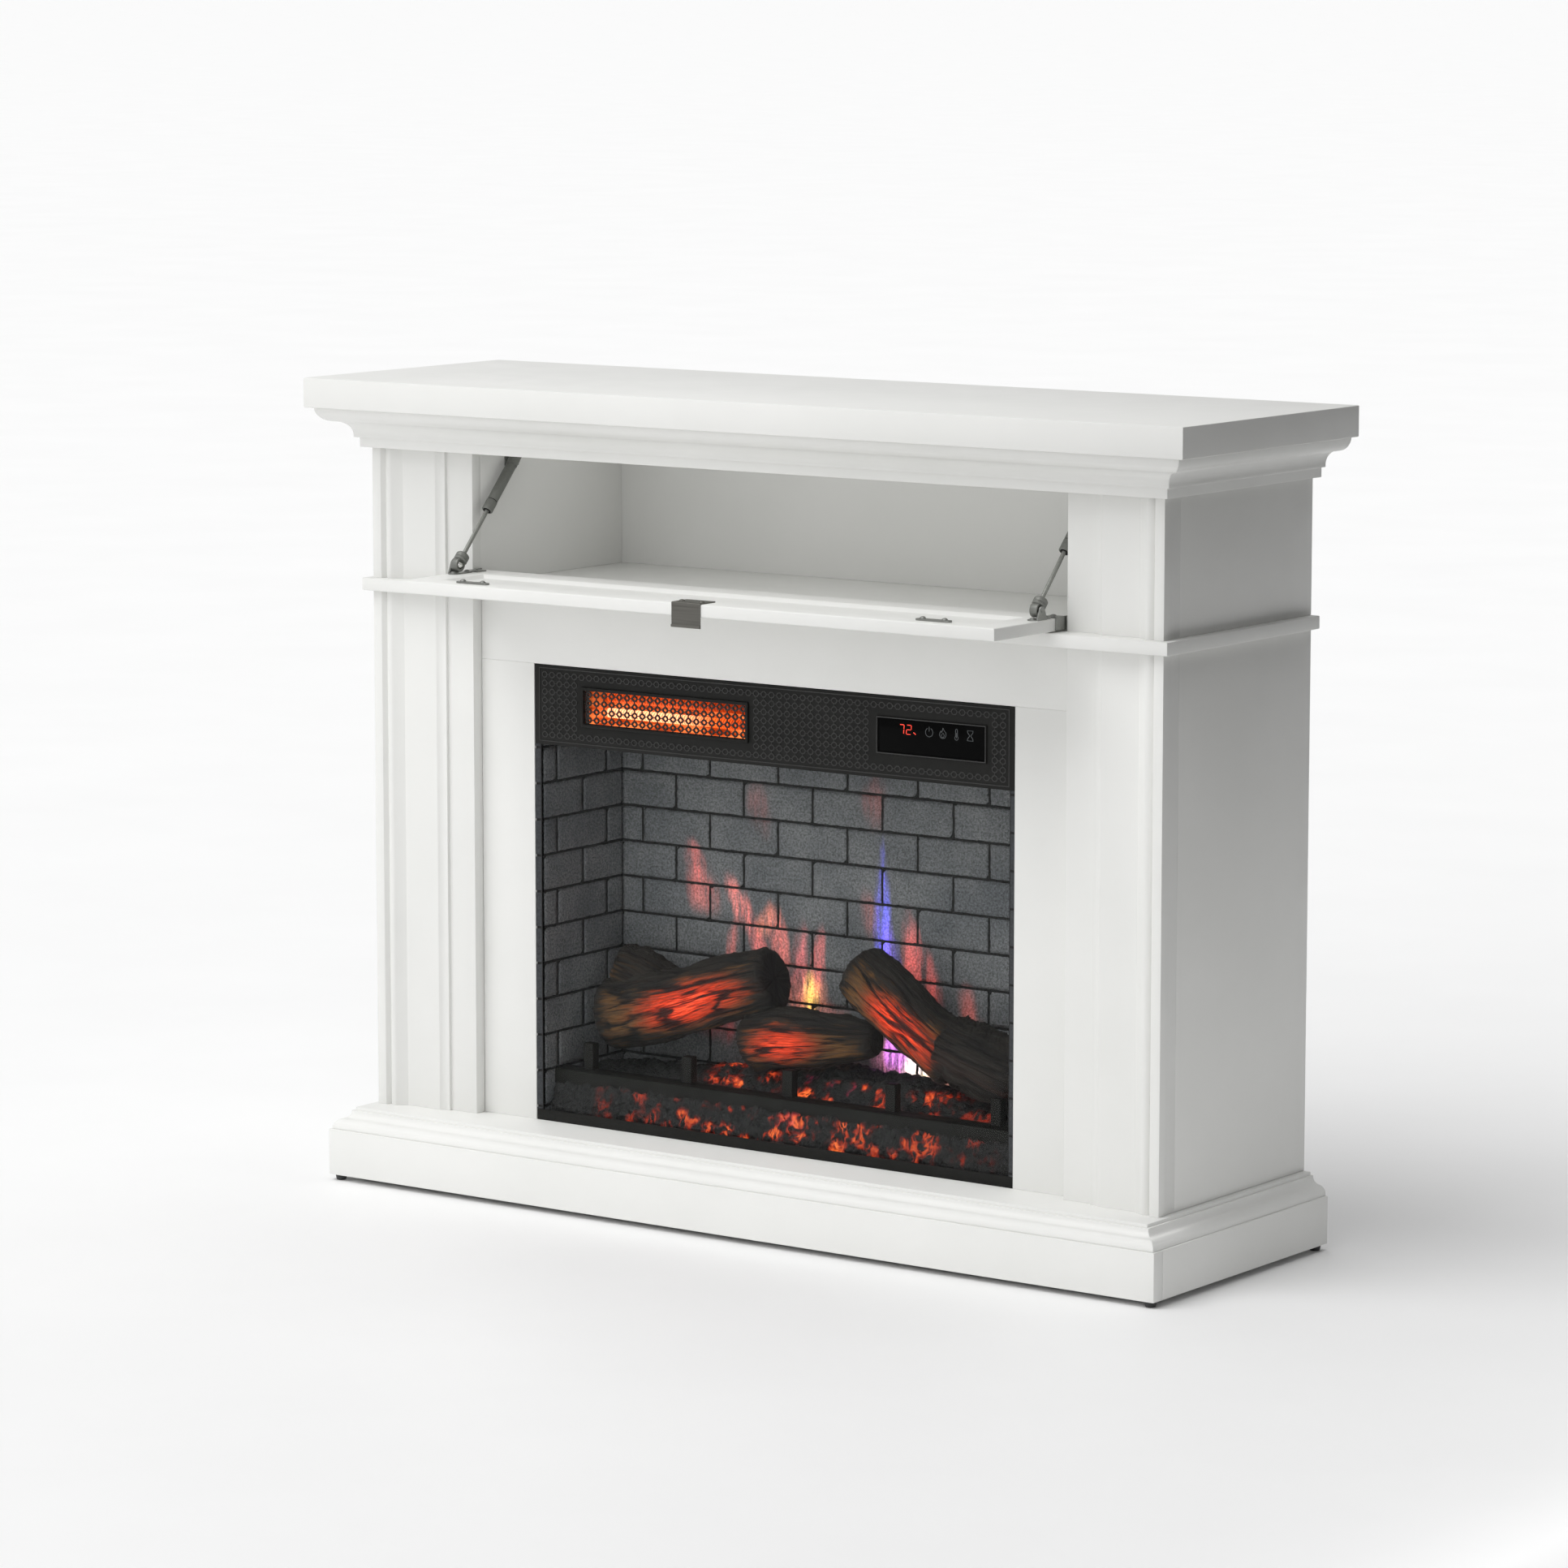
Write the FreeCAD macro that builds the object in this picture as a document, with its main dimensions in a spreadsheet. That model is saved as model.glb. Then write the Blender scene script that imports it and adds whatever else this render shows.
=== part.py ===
"""Electric fireplace: a white mantel cabinet with a drop-down storage door on two
gas struts, and an infrared fireplace insert behind glass.

Millimetres. +Z is up, the front faces -Y and +X is to the viewer's right. The origin
is on the floor, in the middle of the plan box with the storage door open.
"""
import FreeCAD, Part
import math
import operator
import os
import Sketcher
from types import SimpleNamespace

doc = FreeCAD.newDocument("electric_fireplace")
sheet = doc.addObject("Spreadsheet::Sheet", "Dims")

# Driving dimensions. A "depth" is a distance forward of the cabinet's back plane,
# a "level" is a height above the floor and a "half" is a distance from the middle.
DIMENSIONS = {
    "total_height": 831.5,
    "mantel_half": 528.5,
    "mantel_depth": 319.0,
    "mantel_thick": 30.5,
    "side_half": 477.75,
    "board_thick": 16.0,
    "face_depth": 269.7,
    "crown_low_level": 760.0,
    "crown_reach": 42.5,
    "crown_step": 9.5,
    "crown_step_high": 10.0,
    "crown_cove_radius": 14.0,
    "crown_round_radius": 14.5,
    "rail_back_depth": 250.0,
    "shelf_low_level": 612.5,
    "shelf_top_level": 625.5,
    "shelf_half": 487.5,
    "shelf_depth": 277.5,
    "storage_half": 360.7,
    "back_panel_thick": 3.7,
    "surround_depth": 240.0,
    "pilaster_half": 478.75,
    "pilaster_cheek_depth": 256.0,
    "pilaster_inner_depth": 253.7,
    "pilaster_field_depth": 260.5,
    "pilaster_ridge_depth": 267.0,
    "pilaster_valley_depth": 264.0,
    "opening_half": 293.0,
    "opening_top_level": 547.0,
    "deck_level": 76.0,
    "plinth_half": 505.0,
    "plinth_depth": 319.0,
    "plinth_low_level": 6.0,
    "plinth_top_level": 54.0,
    "moulding_inset_low": 2.5,
    "moulding_inset_mid": 10.4,
    "moulding_inset_high": 17.0,
    "moulding_inset_deck": 20.0,
    "moulding_mid_level": 64.3,
    "moulding_top_level": 72.7,
    "foot_radius": 6.2,
    "foot_inset": 9.0,
    "insert_half": 290.0,
    "insert_back_depth": 50.0,
    "insert_face_depth": 237.0,
    "insert_top_level": 545.0,
    "sheet_steel": 1.5,
    "fascia_half": 292.5,
    "fascia_thick": 2.5,
    "fascia_low_level": 465.0,
    "fascia_top_level": 546.5,
    "lip_top_level": 87.0,
    "glass_thick": 3.0,
    "grille_left": -232.3,
    "grille_right": -23.5,
    "grille_low_level": 486.4,
    "grille_top_level": 527.2,
    "grille_border": 3.2,
    "grille_pitch": 9.5,
    "grille_hole_radius": 3.3,
    "bezel_left": 130.8,
    "bezel_right": 260.5,
    "bezel_low_level": 488.9,
    "bezel_top_level": 526.3,
    "bezel_border": 2.0,
    "tube_radius": 5.0,
    "tube_depth": 205.0,
    "tube_low_level": 498.0,
    "tube_high_level": 514.0,
    "firebox_half": 286.0,
    "brick_face_depth": 102.0,
    "brick_thick": 2.4,
    "firebox_roof_level": 470.0,
    "bar_front_depth": 221.0,
    "bar_back_depth": 197.0,
    "bar_low_level": 112.0,
    "bar_top_level": 127.5,
    "post_width": 12.0,
    "post_front_depth": 207.5,
    "post_top_level": 154.5,
    "post_pitch": 125.5,
    "bed_front_depth": 232.0,
    "bed_low_level": 89.0,
    "bed_top_level": 119.0,
    "rear_bed_back_depth": 108.0,
    "rear_bed_level": 128.0,
    "rotor_depth": 76.0,
    "rotor_level": 140.0,
    "rotor_half": 225.0,
    "rotor_radius": 14.0,
    "rotor_shaft_radius": 2.5,
    "blower_depth": 130.0,
    "blower_level": 508.0,
    "blower_radius": 22.0,
    "blower_left": -200.0,
    "blower_right": -60.0,
    "blower_shaft_radius": 3.0,
    "running_gap": 0.05,
    "door_half": 357.6,
    "door_front_depth": 373.5,
    "door_rear_depth": 243.7,
    "door_low_level": 626.5,
    "door_thick": 12.5,
    "door_rail": 31.0,
    "door_panel_thick": 4.0,
    "hinge_depth": 247.7,
    "hinge_level": 631.5,
    "hinge_pin_radius": 2.0,
    "pull_half": 17.25,
    "pull_front_depth": 375.9,
    "pull_low_level": 615.5,
    "pull_thick": 1.2,
    "strut_plane": 350.0,
    "ball_depth": 290.5,
    "ball_level": 648.3,
    "strut_top_depth": 190.0,
    "strut_top_level": 757.0,
    "strut_gland_reach": 69.5,
    "strut_cap_reach": 13.0,
    "strut_tube_radius": 5.3,
    "strut_rod_radius": 2.0,
    "strut_stroke": 55.9,
    "socket_radius": 5.0,
    "ball_radius": 3.0,
}

# The ends of each log's axis (x, depth, level) and its radius there.
LOGS = {
    "left_log": ((-250.0, 160.0, 178.0, 34.0), (-38.0, 148.0, 224.0, 29.0)),
    "centre_log": ((-66.0, 172.0, 165.0, 23.0), (86.0, 170.0, 180.0, 24.0)),
    "right_log": ((46.0, 146.0, 246.0, 30.0), (258.0, 160.0, 166.0, 33.0)),
}
STUB = ((-190.0, 160.0, 205.0, 17.0), (-238.0, 158.0, 232.0, 21.0))


def write_sheet():
    """Fill the spreadsheet: one alias for each driving dimension."""
    rows = dict(DIMENSIONS)
    for name, ends in list(LOGS.items()) + [("stub", STUB)]:
        for end, values in zip(("start", "finish"), ends):
            for word, value in zip(("across", "depth", "level", "radius"), values):
                rows["_".join((name, end, word))] = value
    for row, (name, value) in enumerate(rows.items(), start=1):
        sheet.set("A%d" % row, name)
        sheet.set("B%d" % row, str(value))
        sheet.setAlias("B%d" % row, name)
    doc.recompute()
    return rows


class Size:
    """A length together with the spreadsheet formula that it comes from."""

    def __init__(self, value, formula):
        self.value = float(value)
        self.formula = formula

    def _combine(self, other, sign, action):
        other = as_size(other)
        formula = "(%s %s %s)" % (self.formula, sign, other.formula)
        return Size(action(self.value, other.value), formula)

    def __add__(self, other):
        return self._combine(other, "+", operator.add)

    def __sub__(self, other):
        return self._combine(other, "-", operator.sub)

    def __mul__(self, other):
        return self._combine(other, "*", operator.mul)

    def __truediv__(self, other):
        return self._combine(other, "/", operator.truediv)

    def __neg__(self):
        return 0.0 - self

    def __rsub__(self, other):
        return as_size(other) - self

    __radd__ = __add__
    __rmul__ = __mul__


def as_size(item):
    return item if isinstance(item, Size) else Size(item, "(%.6f)" % item)


def length_of(across, up):
    """The length of the straight line with these two offsets."""
    formula = "hypot(%s; %s)" % (across.formula, up.formula)
    return Size(math.hypot(across.value, up.value), formula)


def direction_of(across, up):
    """The angle of that line above the horizontal, in degrees."""
    formula = "atan2(%s; %s)" % (up.formula, across.formula)
    return Size(math.degrees(math.atan2(up.value, across.value)), formula)


dim = SimpleNamespace(**{name: Size(value, "Dims." + name) for name, value in write_sheet().items()})
back_y = dim.pull_front_depth / 2


def at(depth):
    """The y of a plane this far forward of the back of the cabinet."""
    return back_y - depth


def between(rear_depth, front_depth):
    return (at(front_depth), at(rear_depth))


def mirrored(side, low, high):
    """The x span low..high on the right (side 1) or its mirror image (side -1)."""
    return (as_size(low), as_size(high)) if side > 0 else (-as_size(high), -as_size(low))


SIDES = (-1, 1)
pieces = {}


def piece(node, thing):
    """Name a finished sub-part."""
    thing.Label = node
    pieces[node] = thing
    return thing


def bind(thing, **properties):
    """Tie properties of a document object to spreadsheet formulas."""
    for name, size in properties.items():
        size = as_size(size)
        if name in ("x", "y", "z"):
            setattr(thing.Placement.Base, name, size.value)
            thing.setExpression("Placement.Base." + name, size.formula)
        else:
            setattr(thing, name, size.value)
            thing.setExpression(name, size.formula)
    return thing


def box(xs, ys, zs, name="block"):
    xs, ys, zs = [tuple(as_size(end) for end in span) for span in (xs, ys, zs)]
    block = doc.addObject("Part::Box", name)
    bind(block, Length=xs[1] - xs[0], Width=ys[1] - ys[0], Height=zs[1] - zs[0])
    return bind(block, x=xs[0], y=ys[0], z=zs[0])


TURNS = {
    "x": FreeCAD.Rotation(FreeCAD.Vector(0, 1, 0), 90),
    "y": FreeCAD.Rotation(FreeCAD.Vector(1, 0, 0), -90),
    "z": FreeCAD.Rotation(),
}


def cylinder(axis, radius, length, x, y, z, kind="Part::Cylinder", **more):
    """A cylinder from (x, y, z) along +axis."""
    rod = doc.addObject(kind, "round")
    rod.Placement = FreeCAD.Placement(FreeCAD.Vector(), TURNS[axis])
    if kind == "Part::Cylinder":
        bind(rod, Radius=radius, Height=length)
    else:
        bind(rod, Height=length, **more)
    return bind(rod, x=x, y=y, z=z)


def ball(radius, x, y, z):
    sphere = doc.addObject("Part::Sphere", "ball")
    return bind(sphere, Radius=radius, x=x, y=y, z=z)


def cut(base, *tools):
    for tool in tools:
        result = doc.addObject("Part::Cut", "cut")
        result.Base = base
        result.Tool = tool
        base = result
    return base


def fuse(*shapes):
    result = doc.addObject("Part::MultiFuse", "joined")
    result.Shapes = list(shapes)
    return result


def group(*shapes):
    """Several separate solids of one sub-part."""
    result = doc.addObject("Part::Compound", "set")
    result.Links = list(shapes)
    return result


def common(first, second):
    result = doc.addObject("Part::Common", "common")
    result.Base = first
    result.Tool = second
    return result


class Arc:
    """A round stretch of an outline, from the point before it to the point after it."""

    def __init__(self, radius, turn):
        self.radius = as_size(radius)
        self.turn = turn


def arc_between(start, finish, radius, turn):
    """The minor arc between two points; turn is 1 for a left-hand bend and -1 for right."""
    chord = finish - start
    middle = (start + finish) * 0.5
    left = FreeCAD.Vector(-chord.y, chord.x, 0).normalize()
    rise = math.sqrt(max(radius ** 2 - (chord.Length / 2) ** 2, 0.0))
    centre = middle + left * (rise * turn)
    ends = (start, finish) if turn > 0 else (finish, start)
    angles = [math.atan2(end.y - centre.y, end.x - centre.x) for end in ends]
    return Part.ArcOfCircle(Part.Circle(centre, FreeCAD.Vector(0, 0, 1), radius), *angles)


def draw(sketch, outline):
    """Draw a closed outline of points and arcs, each point tied to its formulas."""
    points = [item for item in outline if not isinstance(item, Arc)]
    points = [tuple(as_size(value) for value in point) for point in points]
    vectors = [FreeCAD.Vector(x.value, y.value, 0) for x, y in points]
    arcs = {}
    count = 0
    for item in outline:
        if isinstance(item, Arc):
            arcs[count - 1] = item
        else:
            count += 1
    ends = []
    for index, start in enumerate(vectors):
        finish = vectors[(index + 1) % count]
        arc = arcs.get(index)
        if arc is None:
            sketch.addGeometry(Part.LineSegment(start, finish), False)
            ends.append((1, 2))
        else:
            sketch.addGeometry(arc_between(start, finish, arc.radius.value, arc.turn), False)
            ends.append((1, 2) if arc.turn > 0 else (2, 1))
    for index in range(count):
        following = (index + 1) % count
        tie = Sketcher.Constraint("Coincident", index, ends[index][1], following, ends[following][0])
        sketch.addConstraint(tie)
    for index, point in enumerate(points):
        for kind, size in zip(("DistanceX", "DistanceY"), point):
            hold = Sketcher.Constraint(kind, -1, 1, index, ends[index][0], size.value)
            number = sketch.addConstraint(hold)
            sketch.setExpression("Constraints[%d]" % number, size.formula)
        if index in arcs:
            hold = Sketcher.Constraint("Radius", index, arcs[index].radius.value)
            number = sketch.addConstraint(hold)
            sketch.setExpression("Constraints[%d]" % number, arcs[index].radius.formula)


def pad(plane, outline, low, high):
    """A PartDesign body: an outline on an origin plane, padded from low to high.

    XY is drawn as x, y and padded along z; XZ as x, z along y; YZ as y, z along x.
    """
    body = doc.addObject("PartDesign::Body", "body")
    face = [item for item in body.Origin.OriginFeatures if item.Role == plane + "_Plane"][0]
    sketch = body.newObject("Sketcher::SketchObject", "outline")
    sketch.AttachmentSupport = [(face, "")]
    sketch.MapMode = "FlatFace"
    draw(sketch, outline)
    low, high = as_size(low), as_size(high)
    offset = -high if plane == "XZ" else low
    sketch.AttachmentOffset = FreeCAD.Placement(FreeCAD.Vector(0, 0, offset.value), FreeCAD.Rotation())
    sketch.setExpression("AttachmentOffset.Base.z", offset.formula)
    feature = body.newObject("PartDesign::Pad", "pad")
    feature.Profile = sketch
    bind(feature, Length=high - low)
    return body


# ---------------------------------------------------------------- cabinet

def mitred_moulding(node, profile, face_half, face_depth, reach, low, high):
    """A moulding round the front and both sides, mitred at the front corners.

    profile(place) gives the section, where place turns a distance from the face into
    a coordinate across the moulding.
    """
    corner_y = at(face_depth)
    tip_half = face_half + reach
    tip_y = corner_y - reach
    front_plan = [(-face_half, corner_y), (-tip_half, tip_y), (tip_half, tip_y), (face_half, corner_y)]
    front = pad("YZ", profile(lambda out: corner_y - out, -1), -tip_half, tip_half)
    piece(node + "_front", common(front, pad("XY", front_plan, low, high)))
    returns = []
    for side in SIDES:
        plan = [(face_half * side, corner_y), (tip_half * side, tip_y),
                (tip_half * side, back_y), (face_half * side, back_y)]
        run = pad("XZ", profile(lambda out: (face_half + out) * side, side), tip_y, back_y)
        returns.append(common(run, pad("XY", plan, low, high)))
    piece(node + "_sides", group(*returns))


def crown_section(place, turn):
    """Bed step, cove and quarter round, from the bottom up."""
    cove = dim.crown_cove_radius
    waist = dim.crown_reach - dim.crown_round_radius
    step_top = dim.crown_low_level + dim.crown_step_high
    mantel_low = dim.total_height - dim.mantel_thick
    round_low = mantel_low - dim.crown_round_radius
    return [
        (place(as_size(0)), dim.crown_low_level),
        (place(dim.crown_step), dim.crown_low_level),
        (place(dim.crown_step), step_top),
        (place(waist - cove), step_top),
        (place(waist - cove), round_low - cove),
        Arc(cove, -turn),
        (place(waist), round_low),
        Arc(dim.crown_round_radius, turn),
        (place(dim.crown_reach), mantel_low),
        (place(as_size(0)), mantel_low),
    ]


def base_section(place, turn):
    """Quarter round below a cove, from the plinth top up to the hearth deck's edge."""
    edge = dim.moulding_inset_deck
    low, mid, high = dim.moulding_inset_low, dim.moulding_inset_mid, dim.moulding_inset_high
    round_radius = (dim.moulding_mid_level - dim.plinth_top_level) * 0.92
    cove_radius = (dim.moulding_top_level - dim.moulding_mid_level) * 0.92
    return [
        (place(as_size(0)), dim.plinth_top_level),
        (place(edge - low), dim.plinth_top_level),
        Arc(round_radius, turn),
        (place(edge - mid), dim.moulding_mid_level),
        Arc(cove_radius, -turn),
        (place(edge - high), dim.moulding_top_level),
        (place(as_size(0)), dim.moulding_top_level),
    ]


def make_top():
    mantel_low = dim.total_height - dim.mantel_thick
    xs = (-dim.mantel_half, dim.mantel_half)
    piece("mantel_top", box(xs, between(0, dim.mantel_depth), (mantel_low, dim.total_height)))
    mitred_moulding("crown_moulding", crown_section, dim.side_half, dim.face_depth,
                    dim.crown_reach, dim.crown_low_level, mantel_low)
    rail = box((-dim.side_half, dim.side_half), between(dim.rail_back_depth, dim.face_depth),
               (dim.crown_low_level, mantel_low))
    piece("top_rail", rail)


def make_carcass():
    mantel_low = dim.total_height - dim.mantel_thick
    storeys = ((dim.deck_level, dim.shelf_low_level), (dim.shelf_top_level, mantel_low))
    panels = []
    for side in SIDES:
        xs = mirrored(side, dim.side_half - dim.board_thick, dim.side_half)
        for zs in storeys:
            panels.append(box(xs, between(0, dim.surround_depth), zs))
    piece("side_panels", group(*panels))
    piece("waist_shelf", box((-dim.shelf_half, dim.shelf_half), between(0, dim.shelf_depth),
                             (dim.shelf_low_level, dim.shelf_top_level)))
    walls = []
    wall_outer = dim.storage_half + dim.board_thick
    for side in SIDES:
        xs = mirrored(side, dim.storage_half, wall_outer)
        walls.append(box(xs, between(dim.back_panel_thick, dim.surround_depth), storeys[1]))
    piece("storage_walls", group(*walls))
    side_inner = dim.side_half - dim.board_thick
    back = box((-side_inner, side_inner), between(0, dim.back_panel_thick), storeys[1])
    piece("storage_back_panel", back)


def pilaster_outline(side):
    """Plan of a pilaster: cheek, corner strip, ridge, flat field, bead and inner strip."""
    rear = at(dim.surround_depth)
    points = [
        (dim.storage_half, rear),
        (dim.storage_half, at(dim.pilaster_inner_depth)),
        (dim.storage_half + 32.8, at(dim.pilaster_inner_depth)),
        (dim.storage_half + 32.8, at(dim.pilaster_inner_depth + 3.6)),
        Arc(13.0, 1),
        (dim.storage_half + 43.3, at(dim.pilaster_field_depth)),
        (dim.pilaster_half - 32.7, at(dim.pilaster_field_depth)),
        (dim.pilaster_half - 23.5, at(dim.pilaster_ridge_depth - 0.6)),
        Arc(6.0, -1),
        (dim.pilaster_half - 13.7, at(dim.pilaster_valley_depth)),
        (dim.pilaster_half - 10.7, at(dim.face_depth)),
        (dim.pilaster_half, at(dim.face_depth)),
        (dim.pilaster_half, at(dim.pilaster_cheek_depth)),
        (dim.side_half, at(dim.pilaster_cheek_depth)),
        (dim.side_half, rear),
    ]
    outline = []
    for item in points:
        if isinstance(item, Arc):
            outline.append(Arc(item.radius, item.turn * -side))
        else:
            outline.append((item[0] * side, item[1]))
    return outline


def make_pilasters():
    storeys = {
        "lower_pilasters": (dim.deck_level, dim.shelf_low_level),
        "upper_pilasters": (dim.shelf_top_level, dim.crown_low_level),
    }
    for node, (low, high) in storeys.items():
        piece(node, group(*[pad("XY", pilaster_outline(side), low, high) for side in SIDES]))


def make_surround():
    """Header and stiles: three boards round the insert's opening."""
    ys = between(dim.surround_depth - dim.board_thick, dim.surround_depth)
    header = box((-dim.storage_half, dim.storage_half), ys,
                 (dim.opening_top_level, dim.shelf_low_level))
    piece("header_rail", header)
    stiles = []
    for side in SIDES:
        xs = mirrored(side, dim.opening_half, dim.storage_half)
        stiles.append(box(xs, ys, (dim.deck_level, dim.opening_top_level)))
    piece("surround_stiles", group(*stiles))


def make_base():
    zs = (dim.plinth_low_level, dim.plinth_top_level)
    inner = dim.plinth_half - dim.board_thick
    front_inner = dim.plinth_depth - dim.board_thick
    piece("plinth_front", box((-dim.plinth_half, dim.plinth_half),
                              between(front_inner, dim.plinth_depth), zs))
    returns = [box(mirrored(side, inner, dim.plinth_half), between(0, front_inner), zs)
               for side in SIDES]
    returns.append(box((-inner, inner), between(0, dim.board_thick), zs))
    piece("plinth_returns", group(*returns))
    edge = dim.moulding_inset_deck
    mitred_moulding("base_moulding", base_section, dim.plinth_half - edge, dim.plinth_depth - edge,
                    edge, dim.plinth_top_level, dim.moulding_top_level)
    deck_half = dim.plinth_half - edge
    piece("hearth_deck", box((-deck_half, deck_half), between(0, dim.plinth_depth - edge),
                             (dim.plinth_top_level, dim.deck_level)))
    feet = []
    for side in SIDES:
        for depth in (dim.foot_inset, dim.plinth_depth - dim.foot_inset):
            feet.append(cylinder("z", 0, dim.plinth_low_level, (dim.plinth_half - dim.foot_inset) * side,
                                 at(depth), 0, kind="Part::Cone",
                                 Radius1=dim.foot_radius - 1.2, Radius2=dim.foot_radius))
    piece("glide_feet", group(*feet))


# ---------------------------------------------------------------- insert

def make_insert_case():
    steel = dim.sheet_steel
    half = dim.insert_half
    rear, face = dim.insert_back_depth, dim.insert_face_depth - dim.glass_thick
    pan_top = dim.deck_level + steel
    piece("insert_base_pan", box((-half, half), between(rear, face), (dim.deck_level, pan_top)))
    top_low = dim.insert_top_level - steel
    wrap = [box((-half, half), between(rear, face), (top_low, dim.insert_top_level))]
    for side in SIDES:
        wrap.append(box(mirrored(side, half - steel, half), between(rear, face), (pan_top, top_low)))
    piece("insert_wrap", group(*wrap))
    inner = half - steel
    cover = box((-inner, inner), between(rear, rear + steel), (pan_top, top_low))
    slots = []
    for column in range(9):
        for row in range(2):
            left = inner * (-0.8) + column * 54
            low = dim.firebox_roof_level + 14 + row * 22
            slots.append(box((left, left + 34), between(rear - 1, rear + steel + 1), (low, low + 5)))
    inlet_hole = cylinder("y", 9.0, steel + 2, inner * 0.82, at(rear + steel + 1), dim.deck_level + 40)
    piece("insert_rear_cover", cut(cover, fuse(*slots), inlet_hole))
    gland = fuse(cylinder("y", 8.95, steel, inner * 0.82, at(rear + steel), dim.deck_level + 40),
                 cylinder("y", 12.0, 8.0, inner * 0.82, at(rear), dim.deck_level + 40))
    bore = cylinder("y", 3.8, steel + 12, inner * 0.82, at(rear + steel + 2), dim.deck_level + 40)
    piece("cord_inlet", cut(gland, bore))
    roof = box((-inner, inner), between(dim.brick_face_depth - dim.brick_thick, face),
               (dim.firebox_roof_level, dim.firebox_roof_level + steel))
    piece("firebox_roof", roof)


def window(left, right, low, high, border):
    return ((left + border, right - border), (low + border, high - border))


def make_fascia():
    """Steel front panel with the heater grille, and the control bezel with its lens."""
    rear, front = dim.insert_face_depth, dim.insert_face_depth + dim.fascia_thick
    panel = box((-dim.fascia_half, dim.fascia_half), between(rear, front),
                (dim.fascia_low_level, dim.fascia_top_level))
    grille = window(dim.grille_left, dim.grille_right, dim.grille_low_level, dim.grille_top_level,
                    dim.grille_border)
    bezel = window(dim.bezel_left, dim.bezel_right, dim.bezel_low_level, dim.bezel_top_level,
                   dim.bezel_border)
    holes = [box(xs, between(rear - 1, front + 1), zs) for xs, zs in (grille, bezel)]
    piece("fascia", cut(panel, *holes))
    piece("front_lip", box((-dim.fascia_half, dim.fascia_half), between(rear, front),
                           (dim.deck_level, dim.lip_top_level)))
    rims = (("heater_grille_frame", grille, dim.grille_border, 2.2),
            ("control_bezel", bezel, dim.bezel_border, 1.4))
    for node, (xs, zs), border, proud in rims:
        outer = box((xs[0] - border, xs[1] + border), between(front, front + proud),
                    (zs[0] - border, zs[1] + border))
        piece(node, cut(outer, box(xs, between(front - 1, front + proud + 1), zs)))
    xs, zs = bezel
    piece("control_lens", box(xs, between(rear - 2, front), zs))
    piece("control_board", box((xs[0] + 2, xs[1] - 2), between(rear - 14, rear - 12.4),
                               (zs[0] - 6, zs[1] + 6)))
    make_grille(grille, rear, front)


def make_grille(opening, rear, front):
    """A sheet with rows of octagonal holes, set into the fascia."""
    (left, right), (low, high) = opening
    sheet_metal = box((left, right), between(rear + 0.7, front - 0.7), (low, high))
    columns, rows = 21, 4
    middle_x = (left + right) / 2
    middle_z = (low + high) / 2
    holes = []
    for column in range(columns):
        for row in range(rows):
            x = middle_x + dim.grille_pitch * (column - (columns - 1) / 2)
            z = middle_z + dim.grille_pitch * 0.93 * (row - (rows - 1) / 2)
            hole = cylinder("y", 0, dim.fascia_thick, x, at(front), z, kind="Part::Prism",
                            Circumradius=dim.grille_hole_radius)
            hole.Polygon = 8
            holes.append(hole)
    piece("heater_grille", cut(sheet_metal, fuse(*holes)))


def make_heater():
    """Two quartz tubes in a trough reflector behind the grille."""
    left, right = dim.grille_left + 8, dim.grille_right - 8
    levels = (dim.tube_low_level, dim.tube_high_level)
    tubes = [cylinder("x", dim.tube_radius, right - left, left, at(dim.tube_depth), level)
             for level in levels]
    piece("quartz_tubes", group(*tubes))
    rear, front = dim.tube_depth - 22, dim.insert_face_depth - 6
    low, high, wall = dim.grille_low_level - 2, dim.grille_top_level + 2, 1.0
    outline = [(at(front), low), (at(rear + 10), low), (at(rear), low + 10), (at(rear), high - 10),
               (at(rear + 10), high), (at(front), high), (at(front), high - wall),
               (at(rear + 10.4), high - wall), (at(rear + wall), high - 10.4),
               (at(rear + wall), low + 10.4), (at(rear + 10.4), low + wall), (at(front), low + wall)]
    trough = pad("YZ", outline, left - 1, right + 1)
    ends = []
    for low_x in (left - 5, right + 1):
        plate = box((low_x, low_x + 4), between(rear, front), (low, high))
        ends.append(plate)
    piece("heater_reflector", fuse(trough, *ends))


def make_glass_and_bricks():
    half = dim.firebox_half
    face = dim.insert_face_depth
    floor = dim.deck_level + dim.sheet_steel
    piece("front_glass", box((-dim.insert_half, dim.insert_half), between(face - dim.glass_thick, face),
                             (floor, dim.fascia_low_level + 6)))
    rear = dim.brick_face_depth - dim.brick_thick
    zs = (floor, dim.firebox_roof_level)
    panels = [box((-half - dim.brick_thick, half + dim.brick_thick),
                  between(rear, dim.brick_face_depth), zs)]
    for side in SIDES:
        xs = mirrored(side, half, half + dim.brick_thick)
        panels.append(box(xs, between(dim.brick_face_depth, face - dim.glass_thick), zs))
    piece("brick_panels", group(*panels))


def make_grate():
    half = dim.firebox_half - 2
    bar = box((-half, half), between(dim.bar_back_depth, dim.bar_front_depth),
              (dim.bar_low_level, dim.bar_top_level))
    posts = []
    for number in range(-2, 3):
        middle = dim.post_pitch * number
        xs = (middle - dim.post_width / 2, middle + dim.post_width / 2)
        posts.append(box(xs, between(dim.bar_back_depth, dim.post_front_depth),
                         (dim.bar_top_level, dim.post_top_level)))
    piece("grate", fuse(bar, *posts))


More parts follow.
